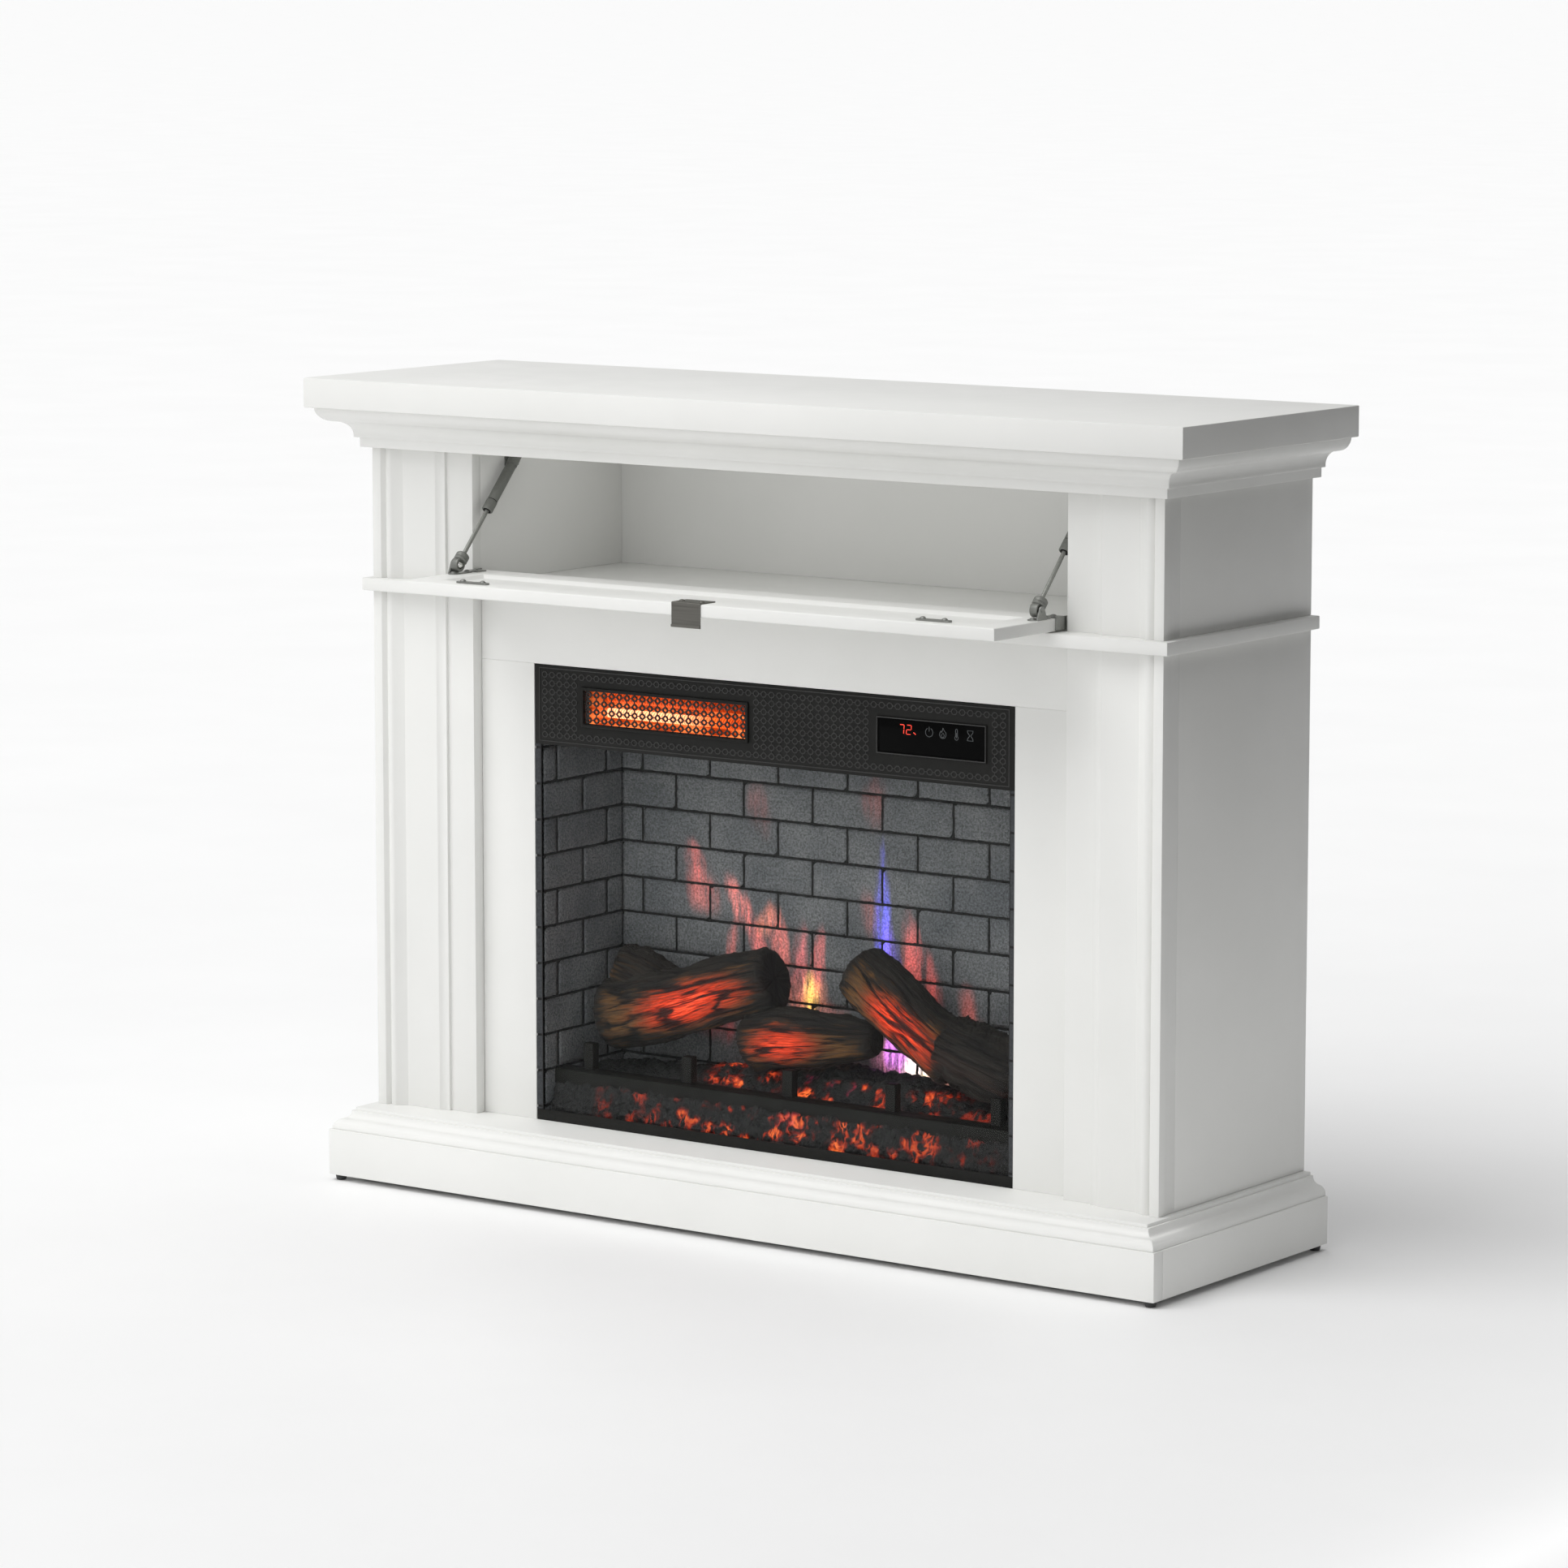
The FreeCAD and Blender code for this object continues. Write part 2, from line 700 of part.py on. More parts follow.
def make_ember_beds():
    half = dim.firebox_half - 3
    floor = dim.deck_level + dim.sheet_steel
    front_outline = [
        (at(dim.bed_front_depth), dim.bed_low_level),
        (at(dim.bed_front_depth), dim.bed_low_level + 9),
        Arc(22.0, -1),
        (at(dim.bar_front_depth + 0.4), dim.bed_top_level),
        (at(dim.bar_front_depth + 0.4), dim.bar_low_level - 0.4),
        (at(dim.bar_back_depth), dim.bar_low_level - 0.4),
        (at(dim.bar_back_depth), floor),
        (at(dim.bed_front_depth - 3), floor),
    ]
    piece("front_ember_bed", pad("YZ", front_outline, -half, half))
    rear_edge, front_edge = dim.rear_bed_back_depth, dim.bar_back_depth - 0.4
    rear_outline = [
        (at(front_edge), floor),
        (at(front_edge), dim.bar_top_level - 4),
        (at(front_edge - 22), dim.rear_bed_level + 8),
        Arc(60.0, -1),
        (at(rear_edge + 18), dim.rear_bed_level + 4),
        (at(rear_edge), dim.rear_bed_level - 14),
        (at(rear_edge), floor),
    ]
    bed = pad("YZ", rear_outline, -half, half)
    chamber = box((-235.0, 235.0), between(rear_edge + 22, front_edge - 22), (floor - 1, floor + 24))
    seats = [pieces[name] for name in LOGS]
    piece("rear_ember_bed", cut(bed, chamber, *seats))


def tapered_rod(start, finish):
    """A cone between two points, each an (x, depth, level, radius) with formulas."""
    ends = [FreeCAD.Vector(end[0].value, at(end[1]).value, end[2].value) for end in (start, finish)]
    run = ends[1] - ends[0]
    rod = doc.addObject("Part::Cone", "limb")
    rod.Placement = FreeCAD.Placement(ends[0], FreeCAD.Rotation(FreeCAD.Vector(0, 0, 1), run))
    bind(rod, Radius1=start[3], Radius2=finish[3], x=start[0], y=at(start[1]), z=start[2])
    flat = length_of(finish[0] - start[0], at(finish[1]) - at(start[1]))
    return bind(rod, Height=length_of(flat, finish[2] - start[2]))


def log_ends(name):
    words = ("across", "depth", "level", "radius")
    return [tuple(getattr(dim, "_".join((name, end, word))) for word in words)
            for end in ("start", "finish")]


def make_logs():
    stub = tapered_rod(*log_ends("stub"))
    piece("left_log", fuse(tapered_rod(*log_ends("left_log")), stub))
    piece("centre_log", tapered_rod(*log_ends("centre_log")))
    piece("right_log", tapered_rod(*log_ends("right_log")))


def make_flame_drive():
    """Lamp board, and the slow rotor of bent strips that makes the flames flicker."""
    floor = dim.deck_level + dim.sheet_steel
    piece("lamp_board", box((-220.0, 220.0), between(140.0, 172.0), (floor + 4, floor + 5.6)))
    y, z, half = at(dim.rotor_depth), dim.rotor_level, dim.rotor_half
    shaft = cylinder("x", dim.rotor_shaft_radius, half * 2 + 20, -half - 12, y, z)
    paddles = []
    for number in range(-4, 5):
        middle = number * 50.0
        tall = number % 2 == 0
        reach = dim.rotor_radius
        thin = 0.6
        depth_reach, level_reach = (thin, reach) if tall else (reach, thin)
        paddles.append(box((middle - 21, middle + 21), (y - depth_reach, y + depth_reach),
                           (z - level_reach, z + level_reach)))
    piece("flame_rotor", fuse(shaft, *paddles))
    motor = cylinder("x", 17.0, 18.0, -half - 29, y, z)
    pocket = cylinder("x", dim.rotor_shaft_radius + dim.running_gap, 12.0, -half - 14, y, z)
    piece("rotor_motor", cut(motor, pocket))
    plate = box((half + 4, half + 7), (y - 12, y + 12), (dim.deck_level + dim.sheet_steel, z + 10))
    hole = cylinder("x", dim.rotor_shaft_radius + dim.running_gap, 5.0, half + 3, y, z)
    piece("rotor_bearing", cut(plate, hole))


def make_blower():
    """Cross-flow blower behind the heater: wheel, scroll housing and motor."""
    y, z = at(dim.blower_depth), dim.blower_level
    left, right, radius = dim.blower_left, dim.blower_right, dim.blower_radius
    hub = cylinder("x", dim.blower_shaft_radius, right - left + 26, left - 8, y, z)
    blades = []
    for turn in range(16):
        angle = math.radians(turn * 22.5)
        lean_y, lean_z = math.cos(angle), math.sin(angle)
        blades.append(cylinder("x", 1.1, right - left, left, y + (radius - 2) * lean_y,
                               z + (radius - 2) * lean_z))
    discs = [cylinder("x", radius, 1.5, left + (right - left - 1.5) * share, y, z)
             for share in (0.0, 0.5, 1.0)]
    piece("blower_wheel", fuse(hub, *blades, *discs))
    wall, gap = 1.2, 3.0
    rear = dim.blower_depth - radius - gap
    low, high = z - radius - gap, z + radius + gap
    shell_ys = between(rear - wall, rear)
    floor = box((left - 3, right + 3), between(rear - wall, dim.blower_depth + 30), (low - wall, low))
    back = box((left - 3, right + 3), shell_ys, (low, high))
    cheeks = []
    for low_x in (left - 3 - wall, right + 3):
        cheek = box((low_x, low_x + wall), between(rear - wall, dim.blower_depth + 30), (low - wall, high))
        hole = cylinder("x", dim.blower_shaft_radius + dim.running_gap, wall + 2, low_x - 1, y, z)
        cheeks.append(cut(cheek, hole))
    piece("blower_housing", fuse(floor, back, *cheeks))
    motor = cylinder("x", 17.0, 34.0, right + 3 + wall, y, z)
    pocket = cylinder("x", dim.blower_shaft_radius + dim.running_gap, 18.0, right + 2, y, z)
    piece("blower_motor", cut(motor, pocket))


def make_power_board():
    low = dim.firebox_roof_level + dim.sheet_steel + 6
    board = box((110.0, 250.0), between(90.0, 180.0), (low, low + 1.6))
    relay = box((130.0, 158.0), between(110.0, 128.0), (low + 1.6, low + 20))
    supply = box((190.0, 226.0), between(120.0, 150.0), (low + 1.6, low + 26))
    legs = [box((x, x + 6), between(depth, depth + 6), (low - 6, low))
            for x in (112.0, 242.0) for depth in (92.0, 172.0)]
    piece("power_board", fuse(board, relay, supply, *legs))


# ---------------------------------------------------------------- storage door

def make_door():
    """A framed drop-down door, lying open on its hinges."""
    low, thick, rail = dim.door_low_level, dim.door_thick, dim.door_rail
    rear, front = at(dim.door_rear_depth), at(dim.door_front_depth)
    round_off = 2.0
    outline = [
        (front, low), (rear - round_off, low), Arc(round_off, 1), (rear, low + round_off),
        (rear, low + thick), (front, low + thick),
    ]
    slab = pad("YZ", outline, -dim.door_half, dim.door_half)
    inner_half = dim.door_half - rail
    recess = (between(dim.door_rear_depth + rail + 4, dim.door_front_depth - rail))
    piece("door_frame", cut(slab, box((-inner_half, inner_half), recess, (low - 1, low + thick + 1))))
    panel_low = low + (thick - dim.door_panel_thick) / 2
    piece("door_panel", box((-inner_half, inner_half), recess, (panel_low, panel_low + dim.door_panel_thick)))


def oval_plate(middle_x, middle_y, half_long, half_wide, low, high):
    flat = half_long - half_wide
    outline = [
        (middle_x - flat, middle_y - half_wide), (middle_x + flat, middle_y - half_wide),
        Arc(half_wide * 1.0001, 1), (middle_x + flat, middle_y + half_wide),
        (middle_x - flat, middle_y + half_wide), Arc(half_wide * 1.0001, 1),
    ]
    return pad("XY", outline, low, high)


def make_door_fittings():
    top = dim.door_low_level + dim.door_thick
    clips = [oval_plate(278.0 * side, at(dim.door_front_depth - 17), as_size(20.0), as_size(4.0), top, top + 1.2)
             for side in SIDES]
    piece("door_clips", group(*clips))
    edge, lip = dim.door_front_depth, dim.pull_front_depth
    metal, low = dim.pull_thick, dim.pull_low_level
    outline = [
        (at(edge - 24), top), (at(edge), top), (at(edge), low), (at(lip), low), (at(lip), low + metal),
        (at(edge + metal), low + metal * 2), (at(edge + metal), top + metal), (at(edge - 24), top + metal),
    ]
    piece("door_pull", pad("YZ", outline, -dim.pull_half, dim.pull_half))


def make_hinges():
    """A pin at each end of the door: a cranked leaf on the door, a flat leaf on the cabinet."""
    top = dim.door_low_level + dim.door_thick
    y, z, pin = at(dim.hinge_depth), dim.hinge_level, dim.hinge_pin_radius
    door_leaves, wall_leaves = [], []
    for side in SIDES:
        flap_xs = mirrored(side, dim.door_half, dim.door_half + 1.2)
        flap = box(flap_xs, between(dim.door_rear_depth + 1, dim.hinge_depth + 22),
                   (dim.door_low_level + 0.5, top))
        seat = box(mirrored(side, dim.door_half - 16, dim.door_half + 1.2),
                   between(dim.door_rear_depth + 10, dim.hinge_depth + 22), (top, top + 1.2))
        stem_low = dim.door_half + 1.2 if side > 0 else -dim.door_half - 2.6
        stem = cylinder("x", pin, 1.4, stem_low, y, z)
        door_leaves.append(fuse(flap, seat, stem))
        leaf = box(mirrored(side, dim.storage_half - 1.2, dim.storage_half),
                   between(dim.surround_depth, dim.pilaster_inner_depth), (dim.shelf_top_level, z + 8.5))
        hole = cylinder("x", pin + dim.running_gap, 3.0,
                        dim.storage_half * side - 1.5, y, z)
        wall_leaves.append(cut(leaf, hole))
    piece("hinge_door_leaves", group(*door_leaves))
    piece("hinge_wall_leaves", group(*wall_leaves))


# ---------------------------------------------------------------- gas struts

strut_run = (dim.ball_depth - dim.strut_top_depth, dim.strut_top_level - dim.ball_level)
strut_length = length_of(*strut_run)
strut_rise = direction_of(*strut_run)


def along_strut(side, carried):
    """Carry a shape drawn on a Z axis from the origin onto the strut's line."""
    carried.Placement.Rotation = FreeCAD.Rotation(FreeCAD.Vector(-1, 0, 0), 90 - strut_rise.value)
    carried.setExpression("Placement.Rotation.Angle", "90 deg - %s" % strut_rise.formula)
    return bind(carried, x=dim.strut_plane * side, y=at(dim.ball_depth), z=dim.ball_level)


def make_struts():
    names = {-1: "left", 1: "right"}
    thick = as_size(9.0)
    for side in SIDES:
        gland, cap = dim.strut_gland_reach, strut_length - dim.strut_cap_reach
        tube = cylinder("z", dim.strut_tube_radius, cap - gland, 0, 0, gland)
        collar = cylinder("z", dim.strut_tube_radius + 0.7, 5.0, 0, 0, gland)
        eye_low = -thick / 2
        neck = box((-3.5, 3.5), (-4.0, 4.0), (cap - 1, strut_length - 2))
        eye = cylinder("x", dim.socket_radius + 1.5, thick, eye_low, 0, strut_length)
        bore = cylinder("z", dim.strut_rod_radius + dim.running_gap, dim.strut_stroke + 8.5, 0, 0, gland - 1)
        body = cut(fuse(tube, collar, neck, eye), bore)
        carried = along_strut(side, body)
        piece(names[side] + "_strut_body", carried)
        rod = cylinder("z", dim.strut_rod_radius, gland + 2.0, 0, 0, 5.0)
        shoulder = cylinder("z", 3.6, 8.0, 0, 0, 4.0)
        socket = cylinder("x", dim.socket_radius, thick, eye_low, 0, 0)
        seat = cylinder("x", dim.ball_radius + dim.running_gap, thick * 2, -thick, 0, 0)
        piece(names[side] + "_strut_rod", along_strut(side, cut(fuse(rod, shoulder, socket), seat)))


def make_strut_brackets():
    """Door brackets with an upright ear and a stud; wall brackets with a short stud."""
    top = dim.door_low_level + dim.door_thick
    door_brackets, wall_brackets = [], []
    half_socket, ear_gap, ear_thick = as_size(4.5), 0.5, 1.8
    for side in SIDES:
        y, z = at(dim.ball_depth), dim.ball_level
        ear_inner = dim.strut_plane + half_socket + ear_gap
        ear_xs = mirrored(side, ear_inner, ear_inner + ear_thick)
        plate = box(mirrored(side, dim.strut_plane - 3.5, ear_inner + ear_thick),
                    between(dim.hinge_depth + 23, dim.ball_depth + 12.5), (top, top + 1.2))
        ear_outline = [
            (y - 10, top), (y + 10, top), (y + 5, z + 1), Arc(5.1, 1), (y - 5, z + 1),
        ]
        ear = pad("YZ", ear_outline, *ear_xs)
        stud_xs = mirrored(side, dim.strut_plane - half_socket, ear_inner)
        stud = cylinder("x", dim.ball_radius, stud_xs[1] - stud_xs[0], stud_xs[0], y, z)
        door_brackets.append(fuse(plate, ear, stud))
        y, z = at(dim.strut_top_depth), dim.strut_top_level
        base = box(mirrored(side, dim.storage_half - 1.6, dim.storage_half), (y - 11, y + 11), (z - 16, z + 16))
        post_xs = mirrored(side, ear_inner, dim.storage_half - 1.6)
        post = cylinder("x", dim.ball_radius + 1, post_xs[1] - post_xs[0], post_xs[0], y, z)
        wall_brackets.append(fuse(base, post))
    piece("strut_door_brackets", group(*door_brackets))
    piece("strut_wall_brackets", group(*wall_brackets))


# ---------------------------------------------------------------- build and write

def check_and_write():
    doc.recompute()
    for thing in doc.Objects:
        if {"Invalid", "Error"} & set(thing.State):
            raise RuntimeError("failed: %s %s" % (thing.Label, thing.State))
    for node, thing in pieces.items():
        shape = thing.Shape
        if shape.isNull() or not shape.isValid() or not shape.Solids:
            raise RuntimeError("bad shape: " + node)
    os.makedirs("parts", exist_ok=True)
    for node, thing in pieces.items():
        thing.Shape.exportStep("parts/%s.step" % node)
        bounds = thing.Shape.BoundBox
        print("%-24s %2d solids %9.0f mm3  x %7.1f %7.1f  y %7.1f %7.1f  z %6.1f %6.1f" % (
            node, len(thing.Shape.Solids), thing.Shape.Volume, bounds.XMin, bounds.XMax,
            bounds.YMin, bounds.YMax, bounds.ZMin, bounds.ZMax))


make_top()
make_carcass()
make_pilasters()
make_surround()
make_base()
make_insert_case()
make_fascia()
make_heater()
make_glass_and_bricks()
make_grate()
make_logs()
make_ember_beds()
make_flame_drive()
make_blower()
make_power_board()
make_door()
make_door_fittings()
make_hinges()
make_struts()
make_strut_brackets()
check_and_write()
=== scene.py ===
import math
import bmesh
import bpy
from mathutils import Matrix, Vector, noise


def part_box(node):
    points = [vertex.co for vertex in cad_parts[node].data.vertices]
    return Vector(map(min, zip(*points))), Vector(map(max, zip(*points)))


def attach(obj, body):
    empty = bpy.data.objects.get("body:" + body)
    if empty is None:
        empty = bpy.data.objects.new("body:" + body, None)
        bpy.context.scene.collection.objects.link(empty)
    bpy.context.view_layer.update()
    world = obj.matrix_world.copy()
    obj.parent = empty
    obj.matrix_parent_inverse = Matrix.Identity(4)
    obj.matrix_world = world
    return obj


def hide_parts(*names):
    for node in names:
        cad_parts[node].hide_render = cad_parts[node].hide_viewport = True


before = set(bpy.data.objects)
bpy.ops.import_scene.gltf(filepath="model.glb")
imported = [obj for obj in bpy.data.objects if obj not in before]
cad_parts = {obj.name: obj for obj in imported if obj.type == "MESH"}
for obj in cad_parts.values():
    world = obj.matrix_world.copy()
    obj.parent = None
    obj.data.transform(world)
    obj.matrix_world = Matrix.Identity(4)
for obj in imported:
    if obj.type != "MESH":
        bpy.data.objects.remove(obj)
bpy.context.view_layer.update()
MM = 0.001
CABINET = "cabinet"
SIDES = (-1, 1)


def low(node):
    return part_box(node)[0]


def high(node):
    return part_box(node)[1]


# ---------------------------------------------------------------- materials

class Shader:
    """A Principled material and short ways to add and join its nodes."""

    def __init__(self, name, color, roughness, metallic=0.0):
        self.material = bpy.data.materials.new(name)
        self.material.use_nodes = True
        self.tree = self.material.node_tree
        self.surface = self.tree.nodes["Principled BSDF"]
        self.put("Base Color", (*color, 1.0))
        self.put("Roughness", roughness)
        self.put("Metallic", metallic)
        self.place = self.add("ShaderNodeTexCoord").outputs["Object"]

    def put(self, socket, value):
        self.feed(self.surface.inputs[socket], value)

    def feed(self, socket, value):
        if isinstance(value, bpy.types.NodeSocket):
            self.tree.links.new(value, socket)
        else:
            socket.default_value = value

    def add(self, kind, settings=None, **inputs):
        node = self.tree.nodes.new(kind)
        for name, value in (settings or {}).items():
            setattr(node, name, value)
        for name, value in inputs.items():
            numbered = name[0] == "i" and name[1:].isdigit()
            self.feed(node.inputs[int(name[1:]) if numbered else name], value)
        return node

    def math(self, operation, first, second=0.0):
        return self.add("ShaderNodeMath", {"operation": operation}, i0=first, i1=second).outputs[0]

    def times(self, first, second):
        return self.math("MULTIPLY", first, second)

    def plus(self, first, second):
        return self.math("ADD", first, second)

    def around(self, value, middle, scale=1.0):
        """How far a value is above a middle, times a scale."""
        return self.times(self.math("SUBTRACT", value, middle), scale)

    def apart(self, value, middle):
        """The distance between a value and a middle."""
        return self.math("ABSOLUTE", self.math("SUBTRACT", value, middle))

    def vector(self, operation, first, second=(0.0, 0.0, 0.0), **inputs):
        node = self.add("ShaderNodeVectorMath", {"operation": operation}, i0=first, i1=second, **inputs)
        return node.outputs["Value" if operation == "LENGTH" else "Vector"]

    def noise(self, scale, detail=4.0, rough=0.55, place=None, distortion=0.0):
        node = self.add("ShaderNodeTexNoise", Vector=place or self.place, Scale=scale, Detail=detail,
                        Roughness=rough, Distortion=distortion)
        return node.outputs["Fac"]

    def stretched(self, x, y, z, place=None):
        node = self.add("ShaderNodeMapping", Vector=place or self.place)
        node.inputs["Scale"].default_value = (x, y, z)
        return node.outputs["Vector"]

    def split(self, place=None):
        node = self.add("ShaderNodeSeparateXYZ", Vector=place or self.place)
        return node.outputs

    def ramp(self, factor, *stops):
        """A colour ramp; each stop is (position, colour or grey)."""
        node = self.add("ShaderNodeValToRGB", Fac=factor)
        band = node.color_ramp
        while len(band.elements) < len(stops):
            band.elements.new(0.5)
        for element, (position, color) in zip(band.elements, stops):
            element.position = position
            element.color = (*color, 1.0) if isinstance(color, tuple) else (color, color, color, 1.0)
        return node.outputs["Color"]

    def span(self, value, from_low, from_high, to_low=0.0, to_high=1.0):
        node = self.add("ShaderNodeMapRange", {"clamp": True, "interpolation_type": "SMOOTHSTEP"},
                        i0=value, i1=from_low, i2=from_high, i3=to_low, i4=to_high)
        return node.outputs[0]

    def blend(self, factor, first, second, kind="MIX"):
        node = self.add("ShaderNodeMix", {"data_type": "RGBA", "blend_type": kind})
        self.feed(node.inputs[0], factor)
        for index, value in ((6, first), (7, second)):
            self.feed(node.inputs[index], value if isinstance(value, bpy.types.NodeSocket) else (*value, 1.0))
        return node.outputs[2]

    def bump(self, height, distance, strength=1.0):
        node = self.add("ShaderNodeBump", Height=height, Distance=distance, Strength=strength)
        self.put("Normal", node.outputs["Normal"])


def shades(color, *shares):
    """Darker or lighter copies of a colour."""
    return [tuple(channel * share for channel in color) for share in shares]


def white_paint():
    """Sprayed satin paint over MDF: faint orange peel and slightly uneven gloss."""
    shader = Shader("white_paint", (0.80, 0.80, 0.78), 0.42)
    tone = shader.noise(6.0, 3.0)
    shader.put("Base Color", shader.ramp(tone, (0.3, (0.785, 0.787, 0.765)), (0.7, (0.815, 0.815, 0.795))))
    shader.put("Roughness", shader.span(shader.noise(40.0), 0.3, 0.7, 0.42, 0.52))
    shader.put("Specular IOR Level", 0.35)
    shader.bump(shader.noise(900.0, 2.0), 0.00002, 0.6)
    return shader.material


def black_coat(name, color, gloss):
    """Fine matte powder coat."""
    shader = Shader(name, color, 0.5)
    shade = shades(color, 0.8, 1.2)
    shader.put("Base Color", shader.ramp(shader.noise(30.0, 3.0), (0.3, shade[0]), (0.7, shade[1])))
    shader.put("Roughness", shader.span(shader.noise(500.0), 0.3, 0.7, 0.42, 0.6))
    shader.put("Specular IOR Level", gloss)
    shader.bump(shader.noise(2200.0, 2.0), 0.00004, 0.8)
    return shader.material


def metal(name, color, roughness, grain=(8.0, 900.0, 900.0), metallic=1.0):
    """Metal with a fine drawn grain along x."""
    shader = Shader(name, color, roughness, metallic)
    lines = shader.noise(1.0, 3.0, place=shader.stretched(*grain))
    shade = shades(color, 0.86, 1.1)
    shader.put("Base Color", shader.ramp(lines, (0.3, shade[0]), (0.7, shade[1])))
    shader.put("Roughness", shader.span(lines, 0.3, 0.7, roughness * 0.8, roughness * 1.25))
    shader.bump(lines, 0.00003, 0.5)
    return shader.material


def plastic(name, color, roughness):
    shader = Shader(name, color, roughness)
    shade = shades(color, 0.8, 1.15)
    shader.put("Base Color", shader.ramp(shader.noise(60.0), (0.3, shade[0]), (0.7, shade[1])))
    shader.bump(shader.noise(1500.0, 2.0), 0.00003, 0.6)
    return shader.material


def touch_glass():
    shader = Shader("touch_glass", (0.004, 0.004, 0.004), 0.06)
    shader.put("Roughness", shader.span(shader.noise(25.0), 0.3, 0.7, 0.05, 0.1))
    shader.put("Specular IOR Level", 0.02)
    return shader.material


def pane_glass():
    """Clear tempered glass: a faint reflection and almost no tint."""
    shader = Shader("pane_glass", (1.0, 1.0, 1.0), 0.02)
    clear = shader.add("ShaderNodeBsdfTransparent")
    clear.inputs["Color"].default_value = (0.97, 0.975, 0.97, 1.0)
    gloss = shader.add("ShaderNodeBsdfGlossy")
    gloss.inputs["Roughness"].default_value = 0.03
    gloss.inputs["Color"].default_value = (0.9, 0.92, 0.92, 1.0)
    fresnel = shader.add("ShaderNodeFresnel", IOR=1.12)
    mix = shader.add("ShaderNodeMixShader", i0=fresnel.outputs[0], i1=clear.outputs[0], i2=gloss.outputs[0])
    output = [node for node in shader.tree.nodes if node.type == "OUTPUT_MATERIAL"][0]
    shader.tree.links.new(mix.outputs[0], output.inputs["Surface"])
    return shader.material


def glow(name, color, strength):
    shader = Shader(name, (0.02, 0.02, 0.02), 0.5)
    shader.put("Emission Color", (*color, 1.0))
    flicker = shader.span(shader.noise(120.0), 0.3, 0.7, strength * 0.8, strength * 1.1)
    shader.put("Emission Strength", flicker)
    return shader.material


PAINT = white_paint()
COAT = black_coat("black_coat", (0.009, 0.009, 0.008), 0.2)
NICKEL = metal("satin_nickel", (0.17, 0.165, 0.15), 0.42)
ZINC = metal("zinc_plate", (0.27, 0.275, 0.26), 0.36, metallic=0.75)
STRUT = metal("strut_grey", (0.19, 0.195, 0.18), 0.45, metallic=0.35)
STEEL = metal("sheet_steel", (0.5, 0.51, 0.52), 0.35)
FOIL = metal("foil", (0.75, 0.75, 0.75), 0.2)
BLACK_PLASTIC = plastic("black_plastic", (0.025, 0.025, 0.025), 0.4)
BOARD_GREEN = plastic("board_green", (0.02, 0.12, 0.05), 0.35)


# ---------------------------------------------------------------- mesh tools

def new_object(name, data):
    thing = bpy.data.objects.new(name, data)
    bpy.context.scene.collection.objects.link(thing)
    return thing


def make_object(name, mesh, material, body, slot, replaces=()):
    thing = new_object(name, mesh)
    mesh.materials.append(material)
    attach(thing, body)
    if replaces:
        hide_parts(*replaces)


def soften(mesh_data, limit=24.0):
    """Smooth shading, with edges sharper than the limit kept crisp."""
    for edge in mesh_data.edges:
        sharp = len(edge.link_faces) != 2 or edge.calc_face_angle(0.0) > math.radians(limit)
        edge.smooth = not sharp
    for face in mesh_data.faces:
        face.smooth = True


def to_mesh(name, data):
    mesh = bpy.data.meshes.new(name)
    data.to_mesh(mesh)
    data.free()
    return mesh


def smooth_mesh(name, data):
    for face in data.faces:
        face.smooth = True
    return to_mesh(name, data)


def finish_mesh(name, data, bevel=0.0, limit=30.0):
    """Round the sharp edges of a bmesh and turn it into mesh data."""
    bmesh.ops.recalc_face_normals(data, faces=data.faces)
    if bevel:
        edges = [edge for edge in data.edges
                 if len(edge.link_faces) == 2 and edge.calc_face_angle(0.0) > math.radians(limit)]
        bmesh.ops.bevel(data, geom=edges, offset=bevel, segments=2, profile=0.5,
                        affect="EDGES", clamp_overlap=True)
    soften(data)
    return to_mesh(name, data)


def rounded_copy(node, material, slot, bevel, body=CABINET):
    """Stand in for a CAD node with its own shape, its edges rounded by a bevel in millimetres."""
    data = bmesh.new()
    data.from_mesh(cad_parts[node].data)
    bmesh.ops.remove_doubles(data, verts=data.verts, dist=1e-6)
    bmesh.ops.dissolve_limit(data, angle_limit=math.radians(0.6), verts=data.verts, edges=data.edges)
    mesh = finish_mesh(node + "_finish", data, bevel * MM)
    near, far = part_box(node)
    for vertex in mesh.vertices:
        vertex.co = [min(max(value, least), most) for value, least, most in zip(vertex.co, near, far)]
    make_object(node + "_finish", mesh, material, body, slot, (node,))


def add_box(data, near, far):
    near, far = Vector(near), Vector(far)
    place = Matrix.Translation((near + far) / 2) @ Matrix.Diagonal((*(far - near), 1.0))
    bmesh.ops.create_cube(data, size=1.0, matrix=place)


def add_tube(data, start, end, radius):
    """A closed cylinder between two points."""
    start, end = Vector(start), Vector(end)
    run = end - start
    turn = run.to_track_quat("Z", "Y").to_matrix().to_4x4()
    bmesh.ops.create_cone(data, cap_ends=True, segments=24, radius1=radius, radius2=radius,
                          depth=run.length, matrix=Matrix.Translation((start + end) / 2) @ turn)


def add_loops(data, loops, ring=False):
    """Skin between successive loops of points, capped at both ends or joined into a hollow ring."""
    loops = [[data.verts.new(point) for point in loop] for loop in loops]
    count = len(loops[0])
    for first, second in zip(loops, loops[1:] + (loops[:1] if ring else [])):
        for index in range(count):
            after = (index + 1) % count
            data.faces.new((first[index], first[after], second[after], second[index]))
    if not ring:
        data.faces.new(loops[0])
        data.faces.new(list(reversed(loops[-1])))


def add_plate(data, outline, bottom, top):
    """A flat plate from an outline of (x, y) points."""
    add_loops(data, [[Vector((x, y, z)) for x, y in outline] for z in (bottom, top)])


